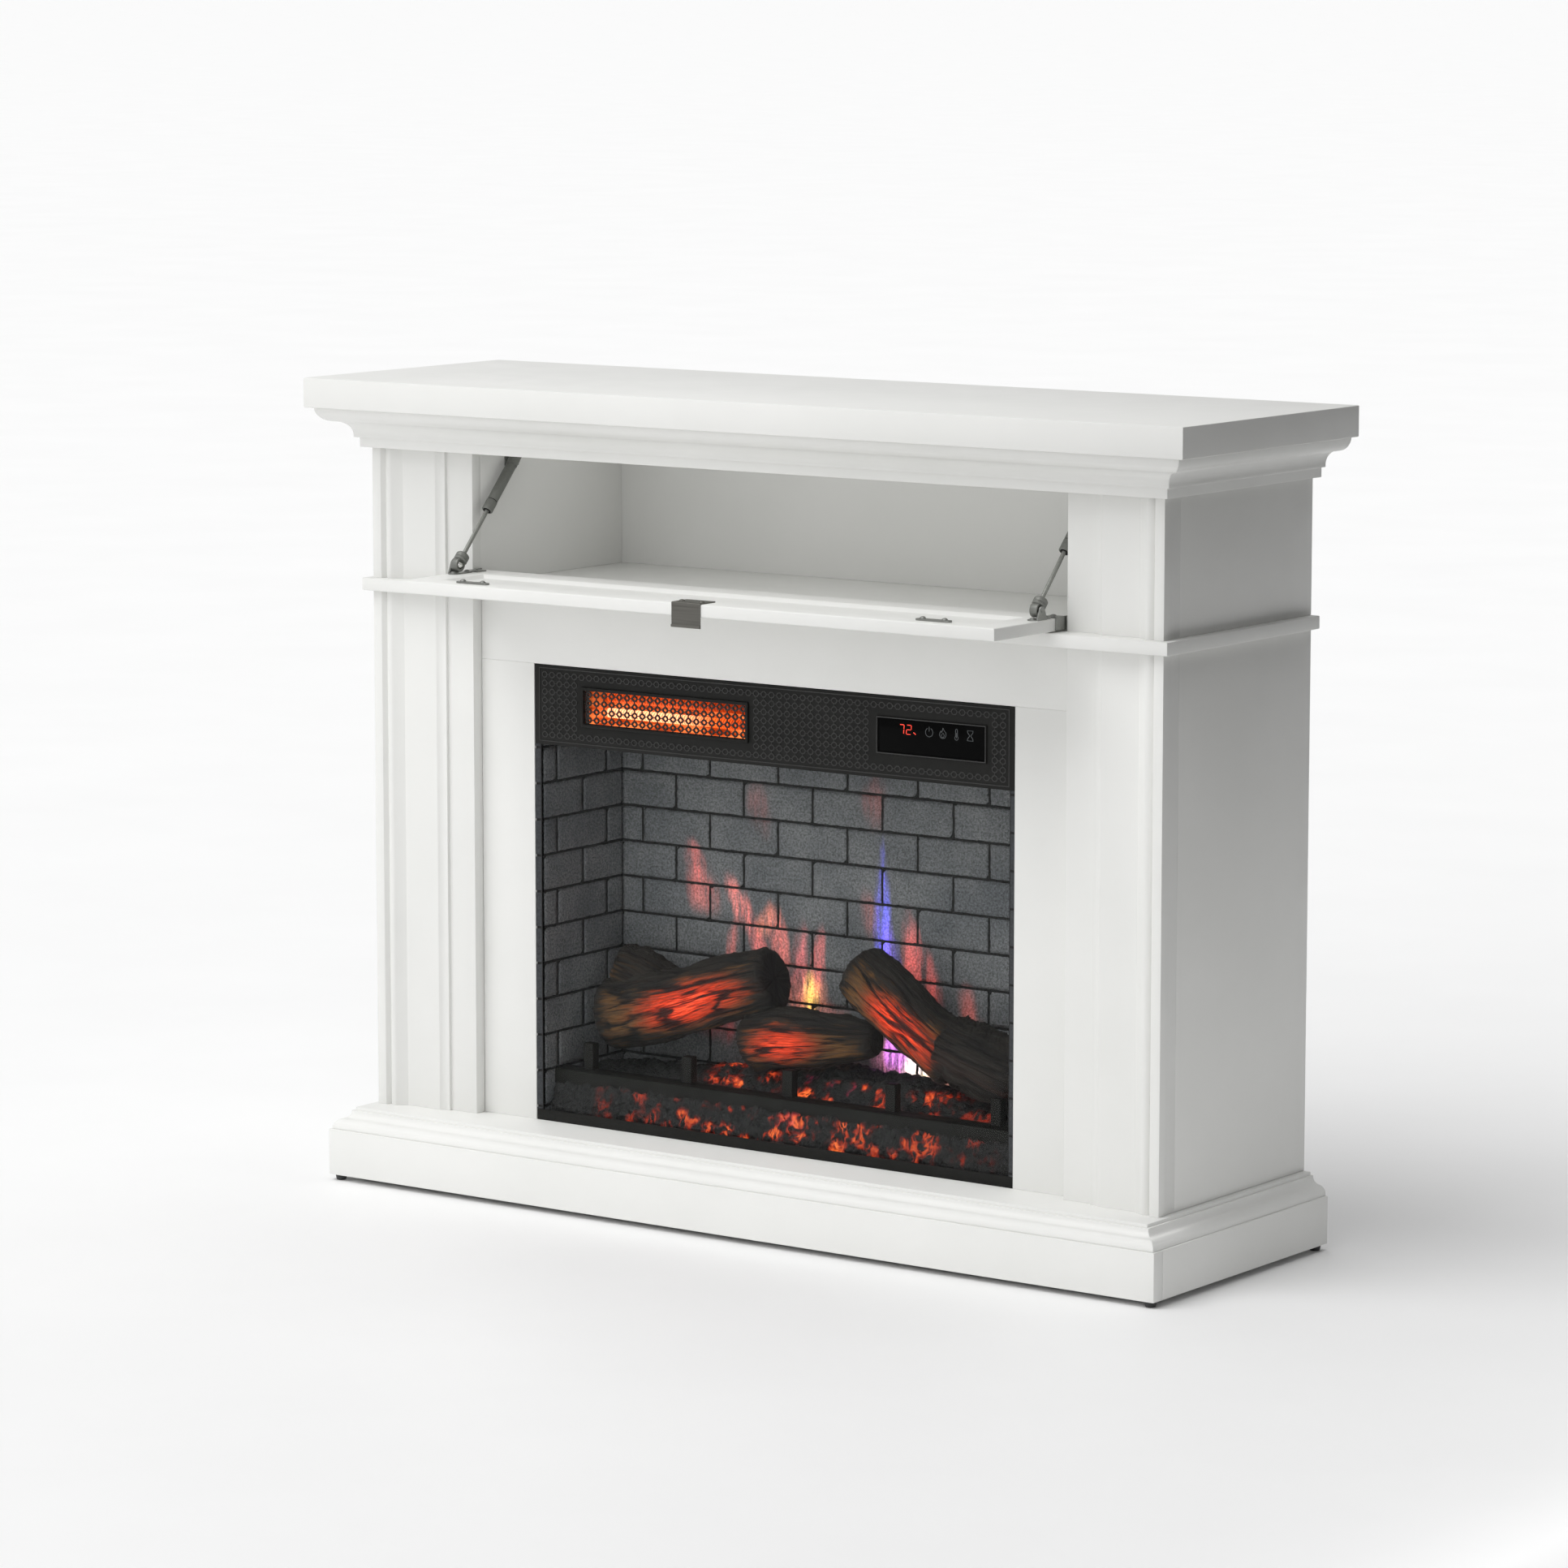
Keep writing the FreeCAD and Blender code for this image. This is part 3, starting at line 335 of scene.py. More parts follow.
def circle(radius, sides):
    """Corners of a circle as (x, y) points."""
    turns = (index / sides * math.tau for index in range(sides))
    return [(radius * math.cos(turn), radius * math.sin(turn)) for turn in turns]


def add_dome(data, centre, normal, radius, rise):
    """A rivet or screw head: a low dome on a surface."""
    turn = Vector(normal).to_track_quat("Z", "Y").to_matrix()
    loops = []
    for step in range(5):
        angle = step / 4 * math.pi / 2
        height = rise * math.sin(angle)
        loops.append([Vector(centre) + turn @ Vector((x, y, height))
                      for x, y in circle(radius * math.cos(angle) + 1e-5, 20)])
    add_loops(data, loops)


def lathe(data, start, run, profile, ring=False):
    """Loops of (distance along, radius) in millimetres about a line."""
    turn = run.to_track_quat("Z", "X").to_matrix()
    loops = []
    for distance, radius in profile:
        centre = start + run * distance * MM
        loops.append([centre + turn @ Vector((x, y, 0)) for x, y in circle(radius * MM, 32)])
    add_loops(data, loops, ring)


def from_builder(name, build, material, body, slot, replaces=(), bevel=0.0, **more):
    data = bmesh.new()
    build(data)
    make_object(name, finish_mesh(name, data, bevel, **more), material, body, slot, replaces)


# ---------------------------------------------------------------- cabinet

WHITE_NODES = {
    "mantel_top": 1.2, "crown_moulding_front": 0.5, "crown_moulding_sides": 0.5, "top_rail": 0.8,
    "side_panels": 0.8, "storage_walls": 0.5, "storage_back_panel": 0.4, "waist_shelf": 1.2,
    "lower_pilasters": 0.6, "upper_pilasters": 0.6, "header_rail": 0.5, "surround_stiles": 0.5,
    "plinth_front": 0.9, "plinth_returns": 0.9, "base_moulding_front": 0.5,
    "base_moulding_sides": 0.5, "hearth_deck": 0.9,
}


def make_cabinet():
    for node, bevel in WHITE_NODES.items():
        rounded_copy(node, PAINT, "white_paint", bevel)
    rounded_copy("glide_feet", BLACK_PLASTIC, "black_plastic", 0.6)


def make_door():
    """Framed door: square edge, flat rails, a sloping step and a sunk flat panel, both faces."""
    near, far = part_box("door_frame")
    sunk_near, sunk_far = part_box("door_panel")
    middle = (near.z + far.z) / 2
    half = (far.z - near.z) / 2
    round_off = 0.8 * MM
    slope = 3.2 * MM
    lift = 2.2 * MM

    def ring(inset_x, inset_front, inset_rear, height):
        return [Vector((near.x + inset_x, near.y + inset_front, middle + height)),
                Vector((far.x - inset_x, near.y + inset_front, middle + height)),
                Vector((far.x - inset_x, far.y - inset_rear, middle + height)),
                Vector((near.x + inset_x, far.y - inset_rear, middle + height))]

    side = sunk_near.x - near.x
    front = sunk_near.y - near.y
    rear = far.y - sunk_far.y

    def build(data):
        loops = []
        for sign in (1, -1):
            face = [
                ring(side + slope, front + slope, rear + slope, sign * lift),
                ring(side + slope * 0.85, front + slope * 0.85, rear + slope * 0.85,
                     sign * (lift + 0.3 * MM)),
                ring(side + 0.5 * MM, front + 0.5 * MM, rear + 0.5 * MM, sign * (half - 0.9 * MM)),
                ring(side - 0.5 * MM, front - 0.5 * MM, rear - 0.5 * MM, sign * half),
                ring(round_off, round_off, round_off, sign * half),
                ring(0, 0, 0, sign * (half - round_off)),
            ]
            loops += face if sign > 0 else face[::-1]
        add_loops(data, loops)

    from_builder("door_leaf", build, PAINT, "door", "white_paint", ("door_frame", "door_panel"),
                 0.25 * MM, limit=20.0)


# ---------------------------------------------------------------- firebox lining

BRICK_PITCH = 86.3 * MM
COURSE = 37.1 * MM
MORTAR = 2.5 * MM
BRICK_CELL = 3.6 * MM
BRICK_RISE = 1.15
BRICK_SKIRT = 1.4 * MM
TOP_JOINT = 461.0 * MM
PLAIN_JOINT, SHIFTED_JOINT = -0.9 * MM, -44.1 * MM
PLAIN_DEPTHS, SHIFTED_DEPTHS = (212, 129), (169,)
BACK_FACE = high("brick_panels").y - 2.4 * MM
SIDE_FACE = high("brick_panels").x - 2.4 * MM


def add_brick(data, corner, along, up, out, length, height, seed):
    """One brick face: a rough slab with worn edges, standing a little off the mortar."""
    across = max(2, round(length / BRICK_CELL))
    rows = max(2, round(height / BRICK_CELL))
    points = []
    for row in range(rows + 1):
        line = []
        for column in range(across + 1):
            u, v = column / across * length, row / rows * height
            edge = min(u, v, length - u, height - v)
            place = corner + along * u + up * v
            rough = noise.noise(place * 330 + Vector((seed, 0, 0))) * 0.16 \
                + noise.noise(place * 90 + Vector((0, seed, 0))) * 0.14
            chip = 0.75 if edge < 0.3 * MM else 0.0
            line.append(data.verts.new(place + out * (BRICK_RISE + rough - chip) * MM))
        points.append(line)
    for row in range(rows):
        for column in range(across):
            data.faces.new((points[row][column], points[row][column + 1],
                            points[row + 1][column + 1], points[row + 1][column]))
    rim = [points[0][column] for column in range(across + 1)]
    rim += [points[row][across] for row in range(1, rows + 1)]
    rim += [points[rows][column] for column in range(across - 1, -1, -1)]
    rim += [points[row][0] for row in range(rows - 1, 0, -1)]
    low_rim = [data.verts.new(vertex.co - out * BRICK_SKIRT) for vertex in rim]
    for index in range(len(rim)):
        after = (index + 1) % len(rim)
        data.faces.new((rim[after], rim[index], low_rim[index], low_rim[after]))


def courses():
    """Heights of each brick course with whether its joints are the shifted ones."""
    bottom, top = low("brick_panels").z, high("brick_panels").z
    upper, index = TOP_JOINT + COURSE, 0
    while upper > bottom:
        yield max(upper - COURSE, bottom), min(upper, top), index % 2 == 0
        upper -= COURSE
        index += 1


def brick_runs(start, end, joints):
    """Spans between joints, each end pulled in by half the mortar."""
    cuts = [start, *sorted(joint for joint in joints if start + MORTAR < joint < end - MORTAR), end]
    for first, second in zip(cuts, cuts[1:]):
        yield (first if first == start else first + MORTAR / 2,
               second if second == end else second - MORTAR / 2)


def make_lining():
    front = low("brick_panels").y
    back_plane = high("mantel_top").y

    def build_bricks(data):
        seed = 0
        for bottom, top, shifted in courses():
            bottom += MORTAR / 2 if bottom > low("brick_panels").z else 0
            top -= MORTAR / 2 if top < high("brick_panels").z else 0
            if top - bottom < 2 * MM:
                continue
            first = SHIFTED_JOINT if shifted else PLAIN_JOINT
            joints = [first + BRICK_PITCH * step for step in range(-4, 5)]
            for start, end in brick_runs(-SIDE_FACE, SIDE_FACE, joints):
                seed += 1
                add_brick(data, Vector((start, BACK_FACE + 0.6 * MM, bottom)), Vector((1, 0, 0)),
                          Vector((0, 0, 1)), Vector((0, -1, 0)), end - start, top - bottom, seed)
            joints = [back_plane - depth * MM for depth in (SHIFTED_DEPTHS if shifted else PLAIN_DEPTHS)]
            for side in SIDES:
                for start, end in brick_runs(front, BACK_FACE, joints):
                    seed += 1
                    if side < 0:
                        corner, along = Vector((-SIDE_FACE - 0.6 * MM, start, bottom)), Vector((0, 1, 0))
                    else:
                        corner, along = Vector((SIDE_FACE + 0.6 * MM, end, bottom)), Vector((0, -1, 0))
                    add_brick(data, corner, along, Vector((0, 0, 1)), Vector((-side, 0, 0)),
                              end - start, top - bottom, seed)

    def build_mortar(data):
        near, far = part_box("brick_panels")
        add_box(data, (near.x, BACK_FACE + 0.2 * MM, near.z), (far.x, far.y, far.z))
        for side in SIDES:
            add_box(data, (side * (SIDE_FACE + 0.2 * MM), near.y, near.z),
                    (side * far.x, BACK_FACE, far.z))
            add_box(data, (side * SIDE_FACE, low("front_glass").y - 0.6 * MM, high("front_lip").z),
                    (side * high("front_lip").x, low("front_glass").y - 0.05 * MM, low("fascia").z))

    def build_edges(data):
        """Brick returns that close the joint between the side walls and the stiles, before the glass."""
        rear = low("front_glass").y - 0.1 * MM
        outer, inner = high("front_lip").x, SIDE_FACE
        for bottom, top, _ in courses():
            bottom = max(bottom + MORTAR / 2, high("front_lip").z)
            top = min(top - MORTAR / 2, low("fascia").z)
            for side in SIDES:
                outline = ((side * inner, rear), (side * inner, rear - 0.2 * MM),
                           (side * outer, low("fascia").y), (side * outer, rear))
                add_plate(data, outline, bottom, top)

    data = bmesh.new()
    build_bricks(data)
    make_object("brick_courses", smooth_mesh("brick_courses", data), brick_material(), CABINET, "brick",
                ("brick_panels",))
    # brick_shaded is painted shade: a darker copy of the brick for the returns beside the stiles.
    shaded = Shader("brick_shaded", (0.045, 0.048, 0.052), 0.9)
    shaded.put("Base Color", shaded.ramp(shaded.noise(420.0, 6.0, 0.7), (0.35, (0.025, 0.027, 0.030)),
                                         (0.65, (0.060, 0.064, 0.070))))
    shaded.bump(shaded.noise(420.0, 6.0, 0.7), 0.001)
    from_builder("brick_edges", build_edges, shaded.material, CABINET, "brick")
    mortar = Shader("mortar", (0.012, 0.012, 0.013), 0.9)
    mortar.put("Base Color", mortar.ramp(mortar.noise(400.0), (0.3, 0.008), (0.7, 0.02)))
    mortar.bump(mortar.noise(900.0), 0.0003)
    from_builder("brick_mortar", build_mortar, mortar.material, CABINET, "brick")


# Flame light painted on the back wall as glow of the brick: centre x and z, half width and half height
# in millimetres, lean in degrees, colour and strength.
FLAMES = (
    (-190, 338, 16, 22, 18, (1.0, 0.16, 0.13), 0.55), (-182, 305, 22, 34, 24, (1.0, 0.17, 0.13), 0.50),
    (-136, 296, 12, 34, 24, (1.0, 0.20, 0.16), 0.85), (-112, 262, 12, 34, 26, (1.0, 0.16, 0.14), 0.70),
    (-100, 283, 13, 22, -30, (1.0, 0.25, 0.14), 0.75), (-84, 262, 12, 36, 10, (1.0, 0.20, 0.16), 0.70),
    (-146, 248, 9, 34, -14, (1.0, 0.16, 0.12), 0.45), (-60, 236, 12, 52, -4, (1.0, 0.20, 0.20), 0.70),
    (-36, 240, 9, 42, -4, (1.0, 0.16, 0.14), 0.55), (-48, 208, 26, 30, 0, (1.0, 0.30, 0.16), 0.75),
    (-46, 208, 13, 26, 0, (1.0, 0.72, 0.08), 1.00), (-110, 395, 14, 30, 10, (0.8, 0.10, 0.06), 0.20),
    (32, 415, 16, 32, -8, (0.8, 0.10, 0.06), 0.18), (-160, 170, 26, 22, 0, (0.8, 0.10, 0.10), 0.22),
    (43, 296, 10, 72, 0, (0.12, 0.12, 1.0), 0.95), (52, 262, 12, 40, 8, (0.22, 0.12, 1.0), 0.90),
    (44, 350, 4, 36, 0, (0.12, 0.10, 0.9), 0.35), (78, 258, 14, 52, 4, (1.0, 0.14, 0.12), 0.70),
    (104, 236, 12, 40, 10, (1.0, 0.12, 0.10), 0.45), (150, 214, 16, 32, 12, (1.0, 0.12, 0.08), 0.28),
    (28, 300, 12, 30, 10, (0.9, 0.12, 0.10), 0.22), (70, 158, 40, 26, 0, (1.0, 0.30, 0.55), 1.10),
    (58, 160, 16, 18, 0, (0.45, 0.12, 1.0), 1.30), (86, 152, 20, 16, 0, (1.0, 0.95, 0.85), 2.60),
    (112, 146, 18, 12, 0, (1.0, 0.45, 0.35), 1.00), (90, 138, 14, 10, 0, (1.0, 0.75, 0.10), 1.30),
    (-20, 178, 30, 30, 0, (1.0, 0.25, 0.20), 0.40), (-120, 206, 40, 30, 0, (0.8, 0.12, 0.08), 0.20),
)


def brick_material():
    shader = Shader("brick_face", (0.11, 0.12, 0.125), 0.85)
    broad = shader.noise(14.0, 4.0)
    fine = shader.noise(420.0, 6.0, 0.7)
    speck = shader.noise(1100.0, 2.0)
    tone = shader.ramp(broad, (0.30, (0.205, 0.218, 0.236)), (0.70, (0.345, 0.352, 0.365)))
    grit = shader.ramp(fine, (0.38, 0.50), (0.60, 1.25))
    color = shader.blend(1.0, tone, grit, "MULTIPLY")
    spots = shader.ramp(speck, (0.40, 0.45), (0.52, 1.0))
    color = shader.blend(0.6, color, spots, "MULTIPLY")
    shader.put("Base Color", color)
    shader.put("Roughness", shader.span(fine, 0.3, 0.7, 0.75, 0.95))
    shader.bump(shader.plus(fine, shader.times(speck, 0.4)), 0.0016)

    # Painted light: the flames thrown on the wall are painted into the brick's glow, streaked and grained.
    ragged = shader.add("ShaderNodeTexNoise", Vector=shader.stretched(60.0, 60.0, 16.0), Scale=1.0,
                        Detail=3.0).outputs["Color"]
    wavy = shader.vector("MULTIPLY_ADD", ragged, (0.022, 0.0, 0.03), i2=shader.place)
    wavy = shader.vector("ADD", wavy, (-0.011, 0.0, -0.015))
    streak = shader.noise(1.0, 5.0, 0.7, shader.stretched(150.0, 40.0, 26.0))
    streak = shader.span(streak, 0.36, 0.62, 0.15, 1.0)
    grain = shader.span(fine, 0.36, 0.6, 0.55, 1.15)
    light = None
    for x, z, wide, tall, lean, color, power in FLAMES:
        place = shader.add("ShaderNodeMapping", {"vector_type": "TEXTURE"}, Vector=wavy)
        place.inputs["Location"].default_value = (x * MM, BACK_FACE, z * MM)
        place.inputs["Rotation"].default_value = (0.0, math.radians(-lean), 0.0)
        place.inputs["Scale"].default_value = (wide * MM, 6.0 * MM, tall * MM)
        reach = shader.vector("LENGTH", place.outputs[0])
        share = shader.times(shader.span(reach, 1.15, 0.35), power)
        tint = shader.vector("SCALE", color, Scale=share)
        light = tint if light is None else shader.vector("ADD", light, tint)
    shader.put("Emission Color", light)
    shader.put("Emission Strength", shader.times(streak, grain))
    return shader.material


# ---------------------------------------------------------------- logs

def bent_line(points, share):
    """A smooth point along a few control points (Catmull-Rom)."""
    spans = len(points) - 1
    index = min(int(share * spans), spans - 1)
    t = share * spans - index
    p0, p1 = points[max(index - 1, 0)], points[index]
    p2, p3 = points[index + 1], points[min(index + 2, spans)]
    return 0.5 * (2 * p1 + (p2 - p0) * t + (2 * p0 - 5 * p1 + 4 * p2 - p3) * t ** 2
                  + (3 * p1 - p0 - 3 * p2 + p3) * t ** 3)


def fibre_relief(along, around, seed):
    """Lengthwise wood fibres from 0 in the grooves to 1 on the ridges; the grooves wander slowly."""
    total = 0.0
    for length, across, amount in ((85, 2.2, 0.46), (60, 4.4, 0.32), (42, 8.4, 0.22)):
        spot = Vector((along / (length * MM) + seed, math.cos(around) * across,
                       math.sin(around) * across + seed))
        total += amount * min(1.0, abs(noise.noise(spot)) / 0.20)
    return total


def bark_relief(place, seed):
    """Burnt, crumbled bark."""
    spot = place * 1000
    lumps = noise.noise(spot * 0.11 + Vector((seed, 0, 0)))
    cracks = 1 - 2 * abs(noise.noise(spot * 0.22 + Vector((0, seed, 0))))
    grains = noise.noise(spot * 0.5 + Vector((0, 0, seed)))
    return 0.9 * lumps + 0.7 * cracks + 0.45 * grains


# Heights in millimetres of the fibres and the bark, and the share of a fibre that sits on the surface.
FIBRE_MIDDLE, FIBRE_RISE, BARK_RISE = 0.72, 4.6, 2.8
LOG_GIRTH = 0.19
WOBBLE, TAPER, TAPER_LENGTH = 0.13, 0.10, 7 * MM
# Log end caps: share of the rim's radius and height in millimetres past the rim.
END_RINGS = ((0.93, 0.9), (0.83, 0.1), (0.60, -1.0), (0.34, -0.6), (0.10, -0.2))


def add_log(data, points, radii, seed, squash=1.0, bark=0.5, reach=(0.0, 1.0)):
    """A log along control points.

    A UV map holds how far along and around each point is, and a relief attribute holds the height of
    the fibres there.
    """
    points = [Vector(point) * MM for point in points]
    steps, sides = ((160, 150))
    layer = data.loops.layers.uv.verify()
    depth = data.verts.layers.float.get("relief") or data.verts.layers.float.new("relief")
    length = sum((b - a).length for a, b in zip(points, points[1:]))
    rings, marks = [], []
    for step in range(steps + 1):
        share = step / steps
        centre = bent_line(points, share)
        ahead = bent_line(points, min(share + 0.01, 1)) - bent_line(points, max(share - 0.01, 0))
        ahead.normalize()
        forward = Vector((0, -1, 0))
        forward = (forward - ahead * forward.dot(ahead)).normalized()
        upward = ahead.cross(forward)
        if upward.z < 0:
            upward = -upward
        radius = bent_line([Vector((value, 0, 0)) for value in radii], share).x * MM
        from_end = min(share, 1 - share) * length / TAPER_LENGTH
        radius *= 1 - TAPER * max(0.0, 1 - from_end) ** 2
        ring = []
        for side in range(sides):
            turn = (side / sides - 0.375) * math.tau
            around = Vector((math.cos(turn), math.sin(turn)))
            shape = 1 + WOBBLE * noise.noise(Vector((share * 4.2 + seed, around.x * 1.3, around.y * 1.3)))
            flank = max(0.0, math.cos(turn - 0.1)) ** 0.6
            out = forward * around.x + upward * around.y * squash
            place = centre + out * radius * shape
            charred = 1 - flank * min(1.0, share / 0.08, (1 - share) / 0.08)
            fibres = fibre_relief(share * length, turn, seed)
            rise = (fibres - FIBRE_MIDDLE) * (FIBRE_RISE - 1.2 * charred)
            rise += bark_relief(place, seed) * charred * bark * BARK_RISE
            ring.append((place + out.normalized() * rise * MM, fibres))
        rings.append(ring)
        marks.append(reach[0] + (reach[1] - reach[0]) * share)
    for end in (0, -1):
        rim = rings[end]
        middle = sum((point for point, _ in rim), Vector()) / sides
        ahead = (middle - bent_line(points, 0.1 if end == 0 else 0.9)).normalized()
        for share, height in END_RINGS:
            ring = []
            for point, fibres in rim:
                flat = middle + (point - middle) * share
                lift = height + bark_relief(flat, seed + 3) * 1.2
                ring.append((flat + ahead * lift * MM, fibres * share))
            if end == 0:
                rings.insert(0, ring)
                marks.insert(0, reach[0])
            else:
                rings.append(ring)
                marks.append(reach[1])
    grid = []
    for ring in rings:
        line = [data.verts.new(point) for point, _ in ring]
        for vertex, (_, fibres) in zip(line, ring):
            vertex[depth] = fibres
        grid.append(line)
    for row in range(len(grid) - 1):
        for side in range(sides):
            after = (side + 1) % sides
            face = data.faces.new((grid[row][side], grid[row][after],
                                   grid[row + 1][after], grid[row + 1][side]))
            for loop, (along, turned) in zip(face.loops, ((0, 0), (0, 1), (1, 1), (1, 0))):
                loop[layer].uv = (marks[row + along], (side + turned) / sides)
    for line, mark in ((grid[0], reach[0]), (grid[-1][::-1], reach[1])):
        face = data.faces.new(line)
        for loop in face.loops:
            loop[layer].uv = (mark, 0.5)


def log_material(name, length, glow_at, glow_wide, glow_around=0.36, strength=1.0):
    """Moulded log: burnt edges, ochre flank with lengthwise fibres, and light glowing through it, painted as
    glow.
    """
    shader = Shader(name, (0.06, 0.035, 0.02), 0.75)
    uv = shader.add("ShaderNodeTexCoord").outputs["UV"]
    u, v, _ = shader.split(uv)
    relief = shader.add("ShaderNodeAttribute", {"attribute_name": "relief"}).outputs["Fac"]
    fibre_place = shader.stretched(length / 0.045, LOG_GIRTH / 0.0042, 1.0, uv)
    hair_place = shader.stretched(length / 0.02, LOG_GIRTH / 0.0013, 1.0, uv)
    fibres = shader.noise(1.0, 6.0, 0.65, fibre_place, 0.6)
    hairs = shader.noise(1.0, 5.0, 0.7, hair_place, 0.4)
    grit = shader.noise(700.0, 5.0, 0.7)
    patches = shader.noise(26.0, 4.0)
    ridge = shader.span(shader.plus(relief, shader.around(hairs, 0.5, 0.9)), 0.42, 0.88)
    flank_middle, flank_half, glow_half = 0.345, 0.22, 0.135
    front = shader.math("SUBTRACT", 1.0, shader.times(shader.apart(v, flank_middle), 1 / flank_half))
    middle = shader.math("SUBTRACT", 1.0, shader.times(shader.apart(u, 0.5), 2.0))
    streaky = shader.around(fibres, 0.5, 1.5)
    flank = shader.plus(shader.plus(front, shader.around(patches, 0.5, 0.9)), streaky)
    between_ends = shader.plus(middle, shader.times(streaky, 0.45))
    zone = shader.times(shader.span(flank, 0.22, 0.75), shader.span(between_ends, 0.08, 0.42))
    # Painted light: the lamp light glowing through the log is painted as its glow, with the wood darkened
    # under it.
    glow_u = shader.around(u, glow_at, 1 / glow_wide)
    glow_v = shader.around(v, glow_around, 1 / glow_half)
    away = shader.math("SQRT", shader.plus(shader.times(glow_u, glow_u), shader.times(glow_v, glow_v)))
    lamp_glow = shader.span(shader.math("SUBTRACT", away, shader.times(streaky, 0.55)), 1.2, 0.05)
    char = shader.ramp(grit, (0.35, (0.006, 0.005, 0.004)), (0.65, (0.040, 0.030, 0.024)))
    dim, plain, bright = shades((0.21, 0.098, 0.032), 0.35, 1.0, 1.6)
    wood = shader.ramp(hairs, (0.30, dim), (0.50, plain), (0.75, bright))
    wood = shader.blend(lamp_glow, wood, (0.05, 0.008, 0.002))
    # Grooves are darkened through ridge: partly the log's own dark paint, partly painted shade.
    shader.put("Base Color", shader.blend(ridge, (0.006, 0.004, 0.003), shader.blend(zone, char, wood)))
    shader.put("Roughness", shader.span(fibres, 0.3, 0.7, 0.55, 0.85))
    lit = shader.times(lamp_glow, shader.span(ridge, 0.0, 1.0, 0.10, 1.0))
    lit = shader.times(lit, shader.span(hairs, 0.34, 0.60, 0.30, 1.0))
    lit = shader.times(lit, shader.span(zone, 0.0, 0.6, 0.12, 1.0))
    shader.put("Emission Color", shader.ramp(lit, (0.0, (0.30, 0.010, 0.0)), (0.35, (0.70, 0.022, 0.004)),
                                             (0.75, (1.0, 0.055, 0.012)), (1.0, (1.0, 0.12, 0.045))))
    shader.put("Emission Strength", shader.times(lit, strength * 1.25))
    height = shader.plus(shader.times(fibres, 0.7), shader.times(hairs, 0.6))
    shader.bump(shader.plus(height, shader.times(grit, 0.45)), 0.0030)
    return shader.material


def make_logs():
    def left(data):
        add_log(data, ((-256, 26, 179), (-212, 24, 188), (-155, 20, 203), (-95, 16, 223), (-42, 18, 238)),
                (30, 33, 30, 28, 27), 4.3, squash=1.12)
        add_log(data, ((-190, 36, 206), (-218, 31, 224), (-243, 22, 233)), (25, 23, 19), 9.1, bark=0.9,
                reach=(0.0, 0.1))

    def centre(data):
        add_log(data, ((-66, 14, 173), (-20, 14, 180), (30, 16, 184), (80, 20, 188)), (29, 29, 24, 16), 2.2,
                squash=1.05)

    def right(data):
        add_log(data, ((50, 36, 254), (85, 32, 233), (130, 26, 206), (180, 24, 178)), (26, 29, 28, 28),
                6.4, squash=1.08)
        add_log(data, ((168, 22, 192), (208, 24, 178), (254, 26, 163)), (30, 33, 31), 8.7, bark=1.7,
                reach=(0.97, 1.0))

    for name, build, material in (
            ("left_fire_log", left, log_material("log_left", 0.22, 0.60, 0.36)),
            ("centre_fire_log", centre, log_material("log_centre", 0.15, 0.38, 0.32, strength=0.85)),
            ("right_fire_log", right, log_material("log_right", 0.2, 0.62, 0.38))):
        data = bmesh.new()
        build(data)
        bmesh.ops.recalc_face_normals(data, faces=data.faces)
        make_object(name, smooth_mesh(name, data), material, CABINET, "log", (name.replace("_fire", ""),))


# ---------------------------------------------------------------- embers and grate

def lumpy_sheet(name, node, profile, columns, material, seed):
    """A bed of coals: an outline in depth and height swept across the hearth, then roughened.

    profile(x) gives the outline at that x as a list of (y, z) points.
    """
    near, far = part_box(node)
    data = bmesh.new()
    grid = []
    for column in range(columns + 1):
        x = near.x + (far.x - near.x) * column / columns
        outline = profile(x)
        line = []
        for index, (y, z) in enumerate(outline):
            place = Vector((x, y, z))
            before, after = outline[max(index - 1, 0)], outline[min(index + 1, len(outline) - 1)]
            run = Vector((0, after[0] - before[0], after[1] - before[1])).normalized()
            out = Vector((0, -run.z, run.y))
            edge = min(1.0, index / 4, (len(outline) - 1 - index) / 4)
            line.append(data.verts.new(place + out * coal_relief(place, seed) * edge))
        grid.append(line)
    for first, second in zip(grid, grid[1:]):
        for index in range(len(first) - 1):
            data.faces.new((first[index], second[index], second[index + 1], first[index + 1]))
    base = near.z
    for line, turned in ((grid[0], False), (grid[-1], True)):
        x = line[0].co.x
        corner_a = data.verts.new((x, line[0].co.y, base))
        corner_b = data.verts.new((x, line[-1].co.y, base))
        face = [corner_a, *line, corner_b]
        data.faces.new(face[::-1] if turned else face)
    bmesh.ops.recalc_face_normals(data, faces=data.faces)
    make_object(name, smooth_mesh(name, data), material, CABINET, "ember", (node,))


def coal_relief(place, seed):
    """Rounded lumps of coal with dark gaps between them."""
    spot = place * 1000
    large_cells, small_cells = 0.075, 0.17
    large = noise.voronoi(spot * large_cells + Vector((seed, 0, 0)))[0]
    gap = min(1.0, (large[1] - large[0]) * 2.4)
    small = noise.voronoi(spot * small_cells + Vector((0, seed, 0)))[0]
    pit = min(1.0, (small[1] - small[0]) * 2.2)
    ripple = noise.noise(spot * 0.09) * 1.2
    return (gap * 2.8 + pit * 1.6 + ripple - 2.6) * MM


def path_points(corners, count):
    """Points spread evenly along straight runs."""
    runs = [math.dist(a, b) for a, b in zip(corners, corners[1:])]
    points = []
    for step in range(count):
        left, index = sum(runs) * step / (count - 1), 0
        while index < len(runs) - 1 and left > runs[index]:
            left -= runs[index]
            index += 1
        share = min(1.0, left / runs[index])
        points.append(tuple(a + (b - a) * share for a, b in zip(corners[index], corners[index + 1])))
    return points


